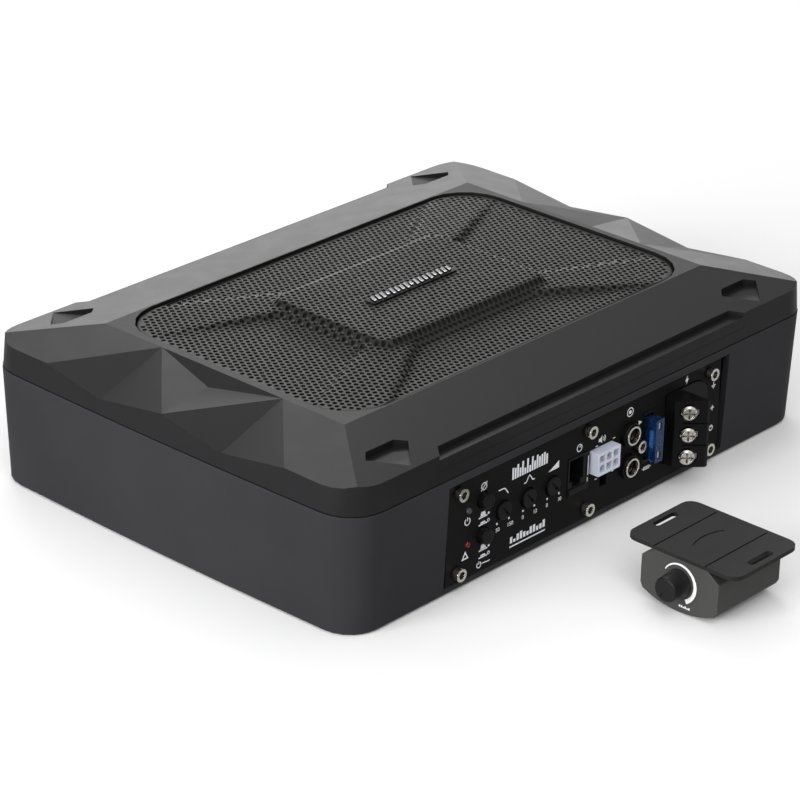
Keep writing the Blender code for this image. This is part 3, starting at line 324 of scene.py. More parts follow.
def clear_plastic(name, colour, density, roughness=0.08):
    """Tinted see-through plastic with faint flow marks."""
    f = Finish(name)
    shown = f.shades(f.noise(2.5, 3.0), 0.35, 0.65, colour, 0.75, 1.3)
    f.bump(f.noise(1.2), 0.02)
    soft = f.span(f.noise(1.0), 0.3, 0.7, roughness, roughness + 0.12)
    return f.finish(shown, soft, Transmission_Weight=density, IOR=1.5)


def cloth(name, colour, thread=0.6):
    """Woven resin-dipped cloth: crossing threads with loose fibres."""
    f = Finish(name)
    threads = ((0, f.bands("X", thread, 0.6)), (1, f.bands("Y", thread, 0.6)))
    weave = f.node("ShaderNodeMath", *threads, operation="MAXIMUM").outputs["Value"]
    shown = f.shades(weave, 0.2, 0.9, colour, 0.55, 1.0)
    f.bump(weave, 0.08)
    return f.finish(shown, 0.85)


def pulp(name, colour):
    """Pressed paper cone: short felted fibres."""
    f = Finish(name)
    fibres = f.noise(1.2, 5.0, 0.7, (1.0, 3.0, 1.0))
    shown = f.shades(fibres, 0.35, 0.65, colour, 0.7, 1.5)
    f.bump(fibres, 0.06)
    return f.finish(shown, f.span(fibres, 0.3, 0.7, 0.75, 0.9))


def rubber(name, colour):
    """Matt rubber with a dusty bloom."""
    f = Finish(name)
    bloom = f.noise(7.0, 5.0, 0.6)
    shown = f.shades(bloom, 0.45, 0.75, colour, 1.0, 2.2)
    f.bump(f.noise(0.5), 0.02)
    return f.finish(shown, f.span(bloom, 0.3, 0.7, 0.55, 0.75))


def foam(name, colour):
    """Closed cell sealing foam."""
    f = Finish(name)
    pores = f.cells(0.5)
    shown = f.shades(pores, 0.0, 0.5, colour, 0.4, 1.4)
    f.bump(pores, 0.12)
    return f.finish(shown, 0.95)


def circuit_board(name):
    """Green solder mask with copper tracks running under it."""
    f = Finish(name)
    brick = (("Vector", f.place), ("Scale", 90.0), ("Mortar Size", 0.03))
    tracks = f.node("ShaderNodeTexBrick", *brick).outputs["Fac"]
    shown = f.blend(tracks, (0.010, 0.075, 0.030, 1.0), (0.035, 0.16, 0.06, 1.0))
    f.bump(tracks, 0.03)
    return f.finish(shown, f.span(f.noise(4.0), 0.3, 0.7, 0.3, 0.45))


def wound_copper(name):
    """Fine enamelled wire laid turn on turn up the coil."""
    f = Finish(name)
    turns = f.bands("Z", 0.35)
    shown = f.blend(turns, (0.35, 0.12, 0.04, 1.0), (0.80, 0.38, 0.18, 1.0))
    f.bump(turns, 0.12)
    return f.finish(shown, 0.3, Metallic=1.0)


def ceramic(name, colour):
    """Sintered ferrite: granular, chipped at the edges."""
    f = Finish(name)
    grains = f.noise(0.5, 4.0, 0.7)
    shown = f.shades(grains, 0.3, 0.7, colour, 0.7, 1.5)
    shown = f.blend(f.edges(0.8, 0.5), shown, scaled(colour, 2.6))
    f.bump(grains, 0.05)
    return f.finish(shown, f.span(grains, 0.3, 0.7, 0.55, 0.75))


def ink(name, colour):
    """Screen printed ink: slightly uneven cover."""
    f = Finish(name)
    thin = f.noise(0.35, 3.0)
    shown = f.shades(thin, 0.35, 0.6, colour, 0.72, 1.0)
    f.bump(thin, 0.01)
    return f.finish(shown, f.span(thin, 0.3, 0.7, 0.45, 0.65))


# Finishes by the record's material slots, with a few of their own
FINISH = {
    "lid": moulded("lid_plastic", rgb(0.011, COOL), 0.36, grain=0.6, depth=0.008, gloss=0.19),
    "casing_paint": powder_coat("tub_paint", rgb(0.028, COOL), 0.5, gloss=0.06),
    "grille_metal": painted_sheet("grille_paint", (0.012, 0.012, 0.0105, 1.0), 0.42, gloss=0.28),
    "chrome_trim": metal("badge_chrome", (0.86, 0.86, 0.87, 1.0), 0.10, (0.15, 1.0, 1.0), 0.4, 0.05),
    "panel_paint": powder_coat("panel_paint_coat", rgb(0.008, WARM), 0.45, gloss=0.04),
    "black_plastic": moulded("component_plastic", rgb(0.005), 0.36, depth=0.008, mottle=0.1, edge_highlight_gain=1.5,
                             gloss=0.14),
    "knob": moulded("knob_plastic", rgb(0.006), 0.4, grain=0.4, mottle=0.1, edge_highlight_gain=2.0, gloss=0.3),
    "remote_plastic": moulded("remote_plastic_grain", rgb(0.044, WARM), gloss=0.24),
    "bracket": moulded("bracket_plastic_grain", rgb(0.012, WARM), gloss=0.22),
    "nickel_plate": metal("nickel_plating", (0.90, 0.87, 0.80, 1.0), 0.22, size=0.3, tarnish=0.12),
    "zinc_steel": metal("zinc_steel_plating", (0.52, 0.52, 0.54, 1.0), 0.35, size=0.6),
    "cast_aluminium": metal("cast_aluminium_skin", (0.62, 0.62, 0.64, 1.0), 0.45, size=1.5),
    "gold": metal("contact_gold", (0.80, 0.58, 0.24, 1.0), 0.25, size=0.4),
    "white_plastic": moulded("socket_plastic", (0.62, 0.63, 0.74, 1.0), 0.35, grain=0.4, depth=0.01,
                             mottle=0.04, edge_highlight_gain=0.15, Subsurface_Weight=0.15),
    "blue_plastic": clear_plastic("fuse_plastic", (0.03, 0.12, 0.36, 1.0), 0.85),
    "red_lens": clear_plastic("red_lens_resin", (0.28, 0.012, 0.016, 1.0), 0.55),
    "clear_lens": clear_plastic("clear_lens_resin", (0.10, 0.10, 0.11, 1.0), 0.6),
    "surround_rubber": rubber("surround_rubber_skin", rgb(0.014)),
    "foam_rubber": foam("gasket_foam", rgb(0.02)),
    "cone_paper": pulp("cone_paper_pulp", rgb(0.03)),
    "spider_cloth": cloth("spider_cloth_weave", (0.5, 0.38, 0.16, 1.0)),
    "copper_wire": wound_copper("voice_coil_wire"),
    "ferrite": ceramic("ferrite_ceramic", rgb(0.045)),
    "circuit_board": circuit_board("board_laminate"),
    "white_ink": ink("white_ink", (0.82, 0.83, 0.86, 1.0)),
}
FINISH["basket_paint"] = FINISH["casing_paint"]

# CAD nodes take the finish of their slot in the record, apart from lid, clamp plates and two remote parts
CAD_FINISH = {part["node"]: part["material_slot"] for part in frame["record"]["subparts"]}
CAD_FINISH.update({"lid": "lid", "remote_bracket": "bracket", "remote_knob": "knob"})
CAD_FINISH.update({f"clamp_plate_{number}": "zinc_steel" for number in (1, 2, 3)})

# Edge radius in millimetres that a CAD node's sharp edges get, and that of all others
EDGE_RADIUS = {
    "lid": 0.55, "tub": 0.6, "control_panel": 0.15, "terminal_block": 0.3, "fuse_holder": 0.2,
    "rca_block": 0.25, "remote_housing": 0.5, "remote_bracket": 0.5, "remote_knob": 0.3,
    "phase_button": 0.3, "auto_on_button": 0.3,
    "low_pass_trimmer": 0.2, "bass_boost_trimmer": 0.2, "level_trimmer": 0.2,
}
SMALL_EDGE = 0.12


# ---- CAD nodes

# Rise of an edge along its length from which it counts as upright
UPRIGHT = 0.85


def new_group(name):
    """Geometry node group with one geometry in and one out: the group, its input and its end node."""
    group = bpy.data.node_groups.new(name, "GeometryNodeTree")
    group.interface.new_socket("Geometry", in_out="INPUT", socket_type="NodeSocketGeometry")
    group.interface.new_socket("Geometry", in_out="OUTPUT", socket_type="NodeSocketGeometry")
    return group, group.nodes.new("NodeGroupInput").outputs[0], group.nodes.new("NodeGroupOutput")


def weld_group():
    """Drops the stored normals and welds the split triangles."""
    group, shape, leave = new_group("weld_triangles")
    for kind, setting in (("GeometryNodeRemoveAttribute", ("Name", "custom_normal")),
                          ("GeometryNodeMergeByDistance", ("Distance", 0.005 * MM))):
        shape = new_node(group, kind, (("Geometry", shape), setting)).outputs["Geometry"]
    feed(group, leave.inputs[0], shape)
    return group


def crease_group(name, limit, upright_limit):
    """Smooths by edge angle, with its own limit for upright edges, and weighs the creases for a bevel."""
    group, shape, leave = new_group(name)

    def add(kind, *inputs, **settings):
        return new_node(group, kind, inputs, **settings)

    def vector(operation, first, second=None):
        inputs = [(0, first)] + ([(1, second)] if second is not None else [])
        return add("ShaderNodeVectorMath", *inputs, operation=operation).outputs

    ends = add("GeometryNodeInputMeshEdgeVertices").outputs
    along = vector("SUBTRACT", ends["Position 1"], ends["Position 2"])[0]
    rise = vector("DOT_PRODUCT", vector("NORMALIZE", along)[0], (0.0, 0.0, 1.0))["Value"]
    steep = add("ShaderNodeMath", (0, rise), operation="ABSOLUTE").outputs[0]
    allowed = add("ShaderNodeMapRange", ("Value", steep), ("From Min", UPRIGHT - 0.01),
                  ("From Max", UPRIGHT + 0.01), ("To Min", math.radians(limit)),
                  ("To Max", math.radians(upright_limit))).outputs["Result"]
    angle = add("GeometryNodeInputMeshEdgeAngle").outputs["Unsigned Angle"]
    sharp = add("FunctionNodeCompare", (0, angle), (1, allowed),
                data_type="FLOAT", operation="GREATER_THAN").outputs[0]
    smooth = add("FunctionNodeBooleanMath", (0, sharp), operation="NOT").outputs[0]
    for domain, value in (("FACE", True), ("EDGE", smooth)):
        shape = add("GeometryNodeSetShadeSmooth", ("Geometry", shape), ("Shade Smooth", value),
                    domain=domain).outputs["Geometry"]
    weighed = add("GeometryNodeStoreNamedAttribute", ("Geometry", shape), ("Name", "bevel_weight_edge"),
                  ("Value", sharp), data_type="FLOAT", domain="EDGE")
    feed(group, leave.inputs[0], weighed.outputs["Geometry"])
    return group


WELD = weld_group()
ROUND_CREASES = crease_group("round_creases", 35, 35)
FACET_CREASES = crease_group("facet_creases", 6, 35)


def add_group(item, name, group):
    item.modifiers.new(name, "NODES").node_group = group


def round_edges(item, radius, creases):
    """Bevels the creases and gives the rest clean normals, all as modifiers."""
    add_group(item, "creases", creases)
    bevel = item.modifiers.new("edge_radius", "BEVEL")
    bevel.width = radius * MM
    bevel.segments = 2
    bevel.limit_method = "WEIGHT"
    bevel.miter_outer = "MITER_ARC"
    bevel.use_clamp_overlap = True
    add_group(item, "smooth_by_angle", ROUND_CREASES)
    item.modifiers.new("face_normals", "WEIGHTED_NORMAL").keep_sharp = True


def dress_cad():
    """Gives every CAD node its finish, welds its triangles and rounds its edges."""
    for name, item in frame["nodes"].items():
        for slot in item.material_slots:
            slot.material = FINISH[CAD_FINISH[name]]
        add_group(item, "weld", WELD)
        flat = item.modifiers.new("merge_flat_faces", "DECIMATE")
        flat.decimate_type = "DISSOLVE"
        flat.angle_limit = math.radians(0.4)
        creases = FACET_CREASES if name == "lid" else ROUND_CREASES
        round_edges(item, EDGE_RADIUS.get(name, SMALL_EDGE), creases)


# ---- mesh helpers

def add_object(name, data):
    """Puts a new object into the scene."""
    item = bpy.data.objects.new(name, data)
    bpy.context.scene.collection.objects.link(item)
    return item


def add_piece(name, bm, finish, body="casing", smooth_angle=40, edge=0.0, stands_for=()):
    """Makes a piece from a bmesh in millimetres and lets it ride on a body."""
    bmesh.ops.scale(bm, vec=(MM, MM, MM), verts=bm.verts)
    bmesh.ops.recalc_face_normals(bm, faces=bm.faces)
    mesh = bpy.data.meshes.new(name)
    bm.to_mesh(mesh)
    bm.free()
    mesh.shade_smooth()
    mesh.set_sharp_from_angle(angle=math.radians(smooth_angle))
    item = add_object(name, mesh)
    mesh.materials.append(FINISH[finish])
    if edge:
        round_edges(item, edge, ROUND_CREASES)
    if body:
        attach(item, body)
    if stands_for:
        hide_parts(*stands_for)
    return item


def rounded_rectangle(half_x, half_y, radius, steps=10, centre=(0.0, 0.0)):
    points = []
    for quarter, (sx, sy) in enumerate(((1, 1), (-1, 1), (-1, -1), (1, -1))):
        for i in range(steps + 1):
            angle = math.pi / 2 * (quarter + i / steps)
            points.append((centre[0] + sx * (half_x - radius) + radius * math.cos(angle),
                           centre[1] + sy * (half_y - radius) + radius * math.sin(angle)))
    return points


def rectangle(x0, x1, y0, y1):
    return [(x0, y0), (x1, y0), (x1, y1), (x0, y1)]


def arc(radius, first, last, centre=(0.0, 0.0), steps=16):
    angles = [math.radians(first + (last - first) * i / steps) for i in range(steps + 1)]
    return [(centre[0] + radius * math.cos(a), centre[1] + radius * math.sin(a)) for a in angles]


def circle(radius, sides=24, centre=(0.0, 0.0)):
    return arc(radius, 0, 360, centre, sides)[:-1]


def superellipse(half_x, half_y, power, sides):
    points = []
    for i in range(sides):
        c = math.cos(2 * math.pi * i / sides)
        s = math.sin(2 * math.pi * i / sides)
        points.append((math.copysign(half_x * abs(c) ** (2 / power), c),
                       math.copysign(half_y * abs(s) ** (2 / power), s)))
    return points


def casing_outline(inset, steps=8):
    """Outline of the casing wall, with its slightly bowed short sides."""
    half_x, half_y = CASING_HALF
    reach = half_y - CASING_CORNER
    plan = rounded_rectangle(half_x - inset, half_y - inset, CASING_CORNER - inset, steps)
    points = []
    for quarter in range(4):
        points += plan[quarter * (steps + 1):(quarter + 1) * (steps + 1)]
        if quarter in (1, 3):
            side = -1 if quarter == 1 else 1
            for i in range(1, 8):
                y = -side * reach * (1 - i / 4)
                points.append((side * (half_x - inset + CASING_BOW * (1 - (y / reach) ** 2)), y))
    return points


def stroke(points, width):
    """Outline of a line of constant width through the points."""
    left = []
    right = []
    for i, (x, y) in enumerate(points):
        ahead = points[min(i + 1, len(points) - 1)]
        behind = points[max(i - 1, 0)]
        ux = ahead[0] - behind[0]
        uy = ahead[1] - behind[1]
        length = math.hypot(ux, uy)
        nx = -uy / length * width / 2
        ny = ux / length * width / 2
        left.append((x + nx, y + ny))
        right.append((x - nx, y - ny))
    return left + right[::-1]


def flat_place(u, v, w):
    return (u, v, w)


def on_panel(u, v, w):
    """u to the right and v up on the control panel, w out of it."""
    return (u, PANEL_Y - w, v)


def on_remote(u, v, w):
    """u to the right of the knob's axis and v up on the remote's front, w out of it."""
    return (REMOTE_FRONT - w, REMOTE_Y - u, v)


def wall(bm, lower, upper):
    """Adds the faces between two closed rings of vertices."""
    for i in range(len(lower)):
        bm.faces.new((lower[i - 1], lower[i], upper[i], upper[i - 1]))


def slab(bm, loops, low, high, place=flat_place):
    """Adds a closed plate: the first loop is its outline, the others are holes."""
    flat = [[Vector((u, v, 0.0)) for u, v in loop] for loop in loops]
    every = [point for loop in loops for point in loop]
    layers = [[bm.verts.new(place(u, v, w)) for u, v in every] for w in (low, high)]
    for triangle in tessellate_polygon(flat):
        for layer in layers:
            bm.faces.new([layer[i] for i in triangle])
    first = 0
    for loop in loops:
        last = first + len(loop)
        wall(bm, layers[0][first:last], layers[1][first:last])
        first = last


def skin(bm, rings, closed=False):
    """Adds a surface through rings of equal point count; closed joins the last to the first."""
    loops = [[bm.verts.new(point) for point in ring] for ring in rings]
    following = loops[1:] + loops[:1] if closed else loops[1:]
    for lower, upper in zip(loops, following):
        wall(bm, lower, upper)
    if not closed:
        bm.faces.new(loops[0])
        bm.faces.new(loops[-1])


def level(outline, z):
    return [(x, y, z) for x, y in outline]


# ---- grille

def inside_distance(x, y, half_x, half_y, radius):
    """Distance inwards from a rounded rectangle's edge; negative outside it."""
    dx = abs(x) - (half_x - radius)
    dy = abs(y) - (half_y - radius)
    outside = math.hypot(max(dx, 0.0), max(dy, 0.0))
    return radius - outside - min(max(dx, dy), 0.0)


def soft_max(a, b, radius):
    reach = max(radius - abs(a - b), 0.0) / radius
    return max(a, b) + reach * reach * radius / 4


def soft_min(a, b, radius):
    return -soft_max(-a, -b, radius)


def line_distance(x, y, start, end):
    """Signed distance from a line, positive on its left."""
    ux = end[0] - start[0]
    uy = end[1] - start[1]
    return (ux * (y - start[1]) - uy * (x - start[0])) / math.hypot(ux, uy)


def grille_height(x, y):
    """Height of the embossed sheet's upper face: a pad on a ledge whose four arms sink into the corners."""
    pad_x, pad_y, pad_r = GRILLE_PAD
    step = GRILLE_PAD_RISE - GRILLE_LEDGE
    run = step / GRILLE_STEEP
    inside = inside_distance(x, y, pad_x + run, pad_y + run, pad_r + run)
    pad = soft_max(soft_min(GRILLE_STEEP * inside, step, GRILLE_SOFT), 0.0, GRILLE_SOFT)
    run += GRILLE_LEDGE_WIDE + GRILLE_LEDGE / GRILLE_STEEP
    inside = inside_distance(x, y, pad_x + run, pad_y + run, pad_r + run)
    ledge = soft_min(GRILLE_STEEP * inside, GRILLE_LEDGE, GRILLE_SOFT)
    ax, ay = abs(x), abs(y)
    start, end = ARM_AXIS
    length = math.hypot(end[0] - start[0], end[1] - start[1])
    along = ((ax - start[0]) * (end[0] - start[0]) + (ay - start[1]) * (end[1] - start[1])) / length
    crest = GRILLE_ARM_RISE * (1 - max(0.0, along) / length)
    upper = -line_distance(ax, ay, *ARM_FEET[0])
    lower = line_distance(ax, ay, *ARM_FEET[1])
    arm = soft_min(GRILLE_STEEP * soft_min(upper, lower, 0.8), crest, GRILLE_SOFT)
    return GRILLE_BASE_Z + pad + soft_max(soft_max(ledge, arm, 0.4), 0.0, GRILLE_SOFT)


def clock_points(x, y, radius, count):
    """Points round a circle, clockwise from its top."""
    angles = [2 * math.pi * i / count for i in range(count)]
    return [(x + radius * math.sin(a), y + radius * math.cos(a)) for a in angles]


def spot(point):
    """Key of a plan point, the same for cells that share it."""
    return round(point[0] * 200), round(point[1] * 200)


def cell_middles():
    """Middles of the hexagonal cells that lie wholly inside the sheet's folded edge."""
    row_step = GRILLE_PITCH * math.sqrt(3) / 2
    half_x, half_y, radius = GRILLE_EDGE
    rows = int(half_y / row_step) + 1
    columns = int(half_x / GRILLE_PITCH) + 2
    for row in range(-rows, rows + 1):
        for column in range(-columns, columns + 1):
            x = (column + (row % 2) * 0.5) * GRILLE_PITCH
            y = row * row_step
            if inside_distance(x, y, half_x, half_y, radius) >= GRILLE_PITCH / math.sqrt(3) + 0.75:
                yield x, y


def outer_loop(edges):
    """The one jagged loop of plan points that the cells' unshared edges make."""
    following = {spot(start): end for start, end in edges.values()}
    start = next(iter(edges.values()))[0]
    loop = [start]
    point = following[spot(start)]
    while spot(point) != spot(start):
        loop.append(point)
        point = following[spot(point)]
    return loop


def build_grille():
    """Perforated sheet from hexagonal cells with a round hole each, and a folded rim."""
    bm = bmesh.new()
    shared = {}

    def vertex(point, drop):
        key = (*spot(point), drop)
        if key not in shared:
            shared[key] = bm.verts.new((*point, grille_height(*point) - drop))
        return shared[key]

    edges = {}
    for x, y in cell_middles():
        corners = clock_points(x, y, GRILLE_PITCH / math.sqrt(3), 6)
        holes = clock_points(x, y, GRILLE_HOLE_R, 8)
        layers = []
        for drop in (0.0, GRILLE_THICK):
            outer = [vertex(point, drop) for point in corners]
            inner = [bm.verts.new((*point, grille_height(*point) - drop)) for point in holes]
            bm.faces.new(outer[:4] + inner[4::-1])
            bm.faces.new(outer[3:] + outer[:1] + inner[:1] + inner[:3:-1])
            layers.append(inner)
        wall(bm, *layers)
        for start, end in zip(corners, corners[1:] + corners[:1]):
            key = tuple(sorted((spot(start), spot(end))))
            if edges.pop(key, None) is None:
                edges[key] = (start, end)

    z = GRILLE_BASE_Z
    half_x, half_y, radius = GRILLE_EDGE
    rings = []
    fold = ((GRILLE_RIM, z), (0.3 * GRILLE_RIM, z - 0.3 * GRILLE_RIM), (0.0, z - GRILLE_RIM),
            (0.0, GRILLE_FOLD_Z), (GRILLE_THICK, GRILLE_FOLD_Z), (GRILLE_THICK, z - GRILLE_THICK))
    for inset, height in fold:
        plan = rounded_rectangle(half_x - inset, half_y - inset, radius - inset)
        rings.append([bm.verts.new((x, y, height)) for x, y in plan])
    for upper, lower in zip(rings, rings[1:]):
        wall(bm, upper, lower)
    loop = outer_loop(edges)
    for border, drop in ((rings[0], 0.0), (rings[-1], GRILLE_THICK)):
        inner = [vertex(point, drop) for point in loop]
        flat = [[Vector((v.co.x, v.co.y, 0.0)) for v in side] for side in (border, inner)]
        every = border + inner
        for triangle in tessellate_polygon(flat):
            bm.faces.new([every[i] for i in triangle])
    add_piece("grille_sheet", bm, "grille_metal", smooth_angle=50, stands_for=("grille",))


def build_badge():
    """Black strip that stands in for the shadow round the bars, with a row of slanted chrome bars, like a
    frozen level meter.
    """
    # painted shadow: the black strip stands in for the shade round the chrome bars
    strip = bmesh.new()
    slab(strip, [rounded_rectangle(*BADGE_HALF, 1.2, 4)], BADGE_LOW, BADGE_LOW + BADGE_STRIP)
    add_piece("badge_shadow_strip", strip, "black_plastic", edge=0.12)
    bars = bmesh.new()
    half = 0.8
    for i in range(BADGE_BARS):
        x = (i - (BADGE_BARS - 1) / 2) * BADGE_PITCH
        tall = 1.25 + 1.1 * abs(math.sin(1.9 * i + 0.6))
        lean = 0.35 * tall
        foot, head = x - lean, x + lean
        bar = [(foot - half, -tall), (foot + half, -tall), (head + half, tall), (head - half, tall)]
        slab(bars, [bar], BADGE_LOW + BADGE_STRIP, BADGE_TOP)
    add_piece("badge_bars", bars, "chrome_trim", edge=0.15, stands_for=("grille_badge",))


# ---- woofer

def add_stretching(name, finish, node, upper, lower):
    """Closed ring between casing and cone; both sides list (ring of points, share of the cone's travel).
    """
    pairs = upper + lower[::-1]
    bm = bmesh.new()
    skin(bm, [ring for ring, share in pairs], closed=True)
    item = add_piece(name, bm, finish, body=None, stands_for=(node,))
    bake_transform(item)


def build_surround():
    """Rubber roll between the oval frame and the cone."""
    half_x, half_y, top = node_box("surround")[1]
    profile = [(0.0, 0.0), (2.5, 0.0), (5.0, 0.0)]
    for i in range(13):
        angle = math.pi * i / 12
        profile.append((ROLL_MIDDLE - ROLL_HALF * math.cos(angle), -ROLL_DEPTH * math.sin(angle)))
    profile += [(16.4, 0.0), (SURROUND_WIDTH, 0.0)]

    def side(drop):
        rings = []
        for inset, z in profile:
            power = 3.5 - 1.1 * inset / SURROUND_WIDTH
            plan = superellipse(half_x - inset, half_y - inset, power, RING_SIDES)
            share = (inset - ROLL_MIDDLE + ROLL_HALF) / (2 * ROLL_HALF)
            rings.append((level(plan, top + z - drop), min(1.0, max(0.0, share))))
        return rings

    add_stretching("surround_roll", "surround_rubber", "surround", side(0.0), side(SURROUND_THICK))


def build_spider():
    """Corrugated woven ring that centres the coil."""
    steps = 30
    reach = node_box("spider")[1][0] - SPIDER_HOLE

    def side(lift):
        rings = []
        for i in range(steps + 1):
            share = i / steps
            fade = min(1.0, 5 * share, 5 * (1 - share))
            z = SPIDER_Z + SPIDER_WAVE * fade * math.sin(2 * math.pi * 5 * share) + lift
            rings.append((level(circle(SPIDER_HOLE + reach * share, RING_SIDES), z), 1.0 - share))
        return rings

    add_stretching("spider_weave", "spider_cloth", "spider", side(0.25), side(-0.25))


def build_cone():
    """Ribbed paper cone and its domed dust cap."""
    steps = 24
    (_, _, neck_z), (half_x, half_y, _) = node_box("cone")
    rise = 19.2
    rings = []
    for lift, order in ((CONE_THICK, 1), (0.0, -1)):
        side = []
        for i in range(steps + 1):
            share = i / steps
            rib = CONE_RIB * max(0.0, math.sin(2 * math.pi * 4 * share)) if 0 < i < steps else 0.0
            reach_x = half_x - (half_x - CONE_NECK) * share - lift
            reach_y = half_y - (half_y - CONE_NECK) * share - lift
            plan = superellipse(reach_x, reach_y, 2.4 - 0.4 * share, RING_SIDES)
            side.append(level(plan, neck_z + rise * (1 - share) + lift + rib))
        rings += side[::order]
    bm = bmesh.new()
    skin(bm, rings, closed=True)
    add_piece("cone_paper", bm, "cone_paper", body="cone_assembly", stands_for=("cone",))
    (_, _, base), (radius, _, top) = node_box("dust_cap")
    angles = [math.pi / 2 * i / 12 for i in range(12)]
    outer = [(radius * math.cos(a), base + (top - base) * math.sin(a)) for a in angles]
    inner = [((radius - CAP_THICK) * math.cos(a), base + (top - base - 1.0) * math.sin(a)) for a in angles]
    dome = bmesh.new()
    skin(dome, [level(circle(r, 64), z) for r, z in inner[::-1] + outer])
    add_piece("dust_cap_dome", dome, "cone_paper", body="cone_assembly", stands_for=("dust_cap",))


def build_gaskets():
    """Foam strips, bulged at their free sides."""
    (_, _, low), (half_x, half_y, top) = node_box("woofer_gasket")
    sides = ((0.18, low), (0.0, low + 0.6), (0.0, top - 0.6), (0.18, top))
    rings = [level(superellipse(half_x - inset, half_y - inset, 5.0, RING_SIDES), z) for inset, z in sides]
    rings += [level(superellipse(half_x - 10.0 + inset, half_y - 12.0 + inset, 3.5, RING_SIDES), z)
              for inset, z in sides[::-1]]
    bm = bmesh.new()
    skin(bm, rings, closed=True)
    add_piece("woofer_gasket_foam", bm, "foam_rubber", stands_for=("woofer_gasket",))
    (_, _, low), (_, _, top) = node_box("lid_gasket")
    outer = ((2.0, low), (1.9, low + 0.2), (1.9, top - 0.2), (2.0, top))
    inner = ((3.0, top), (3.1, top - 0.2), (3.1, low + 0.2), (3.0, low))
    bm = bmesh.new()
    skin(bm, [level(casing_outline(inset), z) for inset, z in outer + inner], closed=True)
    add_piece("lid_gasket_foam", bm, "foam_rubber", stands_for=("lid_gasket",))


# ---- panel parts

def panel_box(name):
    """A CAD node's middle (u, v), half width, half height, and how far out its front and its back stand."""
    (x0, y0, z0), (x1, y1, z1) = node_box(name)
    middle = (round((x0 + x1) / 2, 2), round((z0 + z1) / 2, 2))
    return middle, (x1 - x0) / 2, (z1 - z0) / 2, PANEL_Y - y0, PANEL_Y - y1


def build_fuse():
    """Blade fuse: tinted body with two test windows, and the metal element inside it."""
    (x, z), half_x, half_z, front, back = panel_box("fuse")
    head = 2.6
    window = (0.3, 3)
    ends = (z + 6.4, z - 6.4)
    bm = bmesh.new()
    slab(bm, [rounded_rectangle(half_x - 0.5, 9.0, 0.5, 3, (x, z))], -6.4, head, on_panel)
    windows = [rounded_rectangle(1.0, 1.7, *window, (x, end))[::-1] for end in ends]
    slab(bm, [rounded_rectangle(half_x, half_z, 0.6, 3, (x, z))] + windows, head + 0.02, front, on_panel)
    slab(bm, [rounded_rectangle(2.3, 3.4, 0.4, 3, (x, z))], 0.4, head, on_panel)
    add_piece("fuse_body", bm, "blue_plastic", body="fuse", edge=0.2, stands_for=("fuse",))
    bm = bmesh.new()
    for end, middle in zip(ends, (z + 6.5, z - 6.5)):
        blade = rectangle(x - 0.35, x + 0.35, middle - 2.6, middle + 2.6)
        slab(bm, [blade], back, head + 1.0, on_panel)
        slab(bm, [rounded_rectangle(0.85, 1.5, *window, (x, end))], head + 1.0, front - 0.5, on_panel)
    add_piece("fuse_blades", bm, "nickel_plate", body="fuse")


def side_place(x):
    """Stands a side profile, drawn as (outwards, upwards), on the panel at a width x."""
    def place(out, up, across):
        return (x + across, PANEL_Y - out, up)
    return place


def build_remote_jack():
    """Modular socket with a stepped mouth, six sprung contacts and a shield strip."""
    (x, z), half_x, half_z, front, back = panel_box("remote_socket")
    left, right, low = x - half_x, x + half_x, z - half_z
    outline = rectangle(left, right, low, z + half_z)
    mouth = [(-15.6, 22.8), (-15.6, 32.2), (-7.4, 32.2), (-7.4, 22.8),
             (-9.0, 22.8), (-9.0, 20.4), (-14.0, 20.4), (-14.0, 22.8)]
    floor = back + 3.0
    proud = front + 0.45
    bm = bmesh.new()
    slab(bm, [outline, mouth], floor, front, on_panel)
    slab(bm, [outline], back, floor - 0.01, on_panel)
    slab(bm, [rectangle(left + 0.4, right - 2.2, low + 0.4, low + 3.1)], front, proud, on_panel)
    add_piece("remote_jack", bm, "black_plastic", edge=0.2, stands_for=("remote_socket",))
    bm = bmesh.new()
    contact = stroke([(-10.8, 31.4), (-2.2, 31.4), (-1.6, 30.9), (-2.2, 30.2), (-9.0, 27.0)], 0.35)
    for i in range(6):
        slab(bm, [contact], -0.22, 0.22, side_place(left + 2.0 + i * 1.24))
    add_piece("remote_jack_contacts", bm, "gold")
    bm = bmesh.new()
    for middle, half, top in ((27.2, 4.3, proud), (20.9, 0.9, front + 0.3)):
        slab(bm, [rounded_rectangle(0.32, half, 0.2, 3, (right - 1.1, middle))], front, top, on_panel)
    add_piece("remote_jack_shield", bm, "nickel_plate", edge=0.08)


def build_speaker_socket():
    """Six-way socket: chambers with alternating corner shapes, a pin in each."""
    middle, half_x, half_z, front, back = panel_box("high_level_socket")
    pitch = 4.2
    half = 1.6
    holes = []
    pins = bmesh.new()
    for column in (-1, 0, 1):
        for row in (-0.5, 0.5):
            x = middle[0] + column * pitch
            z = middle[1] + row * pitch
            clip = 0.75 if (column + (row > 0)) % 2 else 0.15
            holes.append([(x - half, z - half), (x - half, z + half - clip), (x - half + clip, z + half),
                          (x + half - clip, z + half), (x + half, z + half - clip), (x + half, z - half)])
            slab(pins, [rectangle(x - 0.45, x + 0.45, z - 0.45, z + 0.45)], 0.0, 3.0, on_panel)
    outline = rounded_rectangle(half_x, half_z, 0.5, 3, middle)
    bm = bmesh.new()
    slab(bm, [outline] + holes, 0.0, front, on_panel)
    slab(bm, [outline], back, -0.01, on_panel)
    add_piece("speaker_socket", bm, "white_plastic", edge=0.18, stands_for=("high_level_socket",))
    add_piece("speaker_pins", pins, "nickel_plate", edge=0.08)


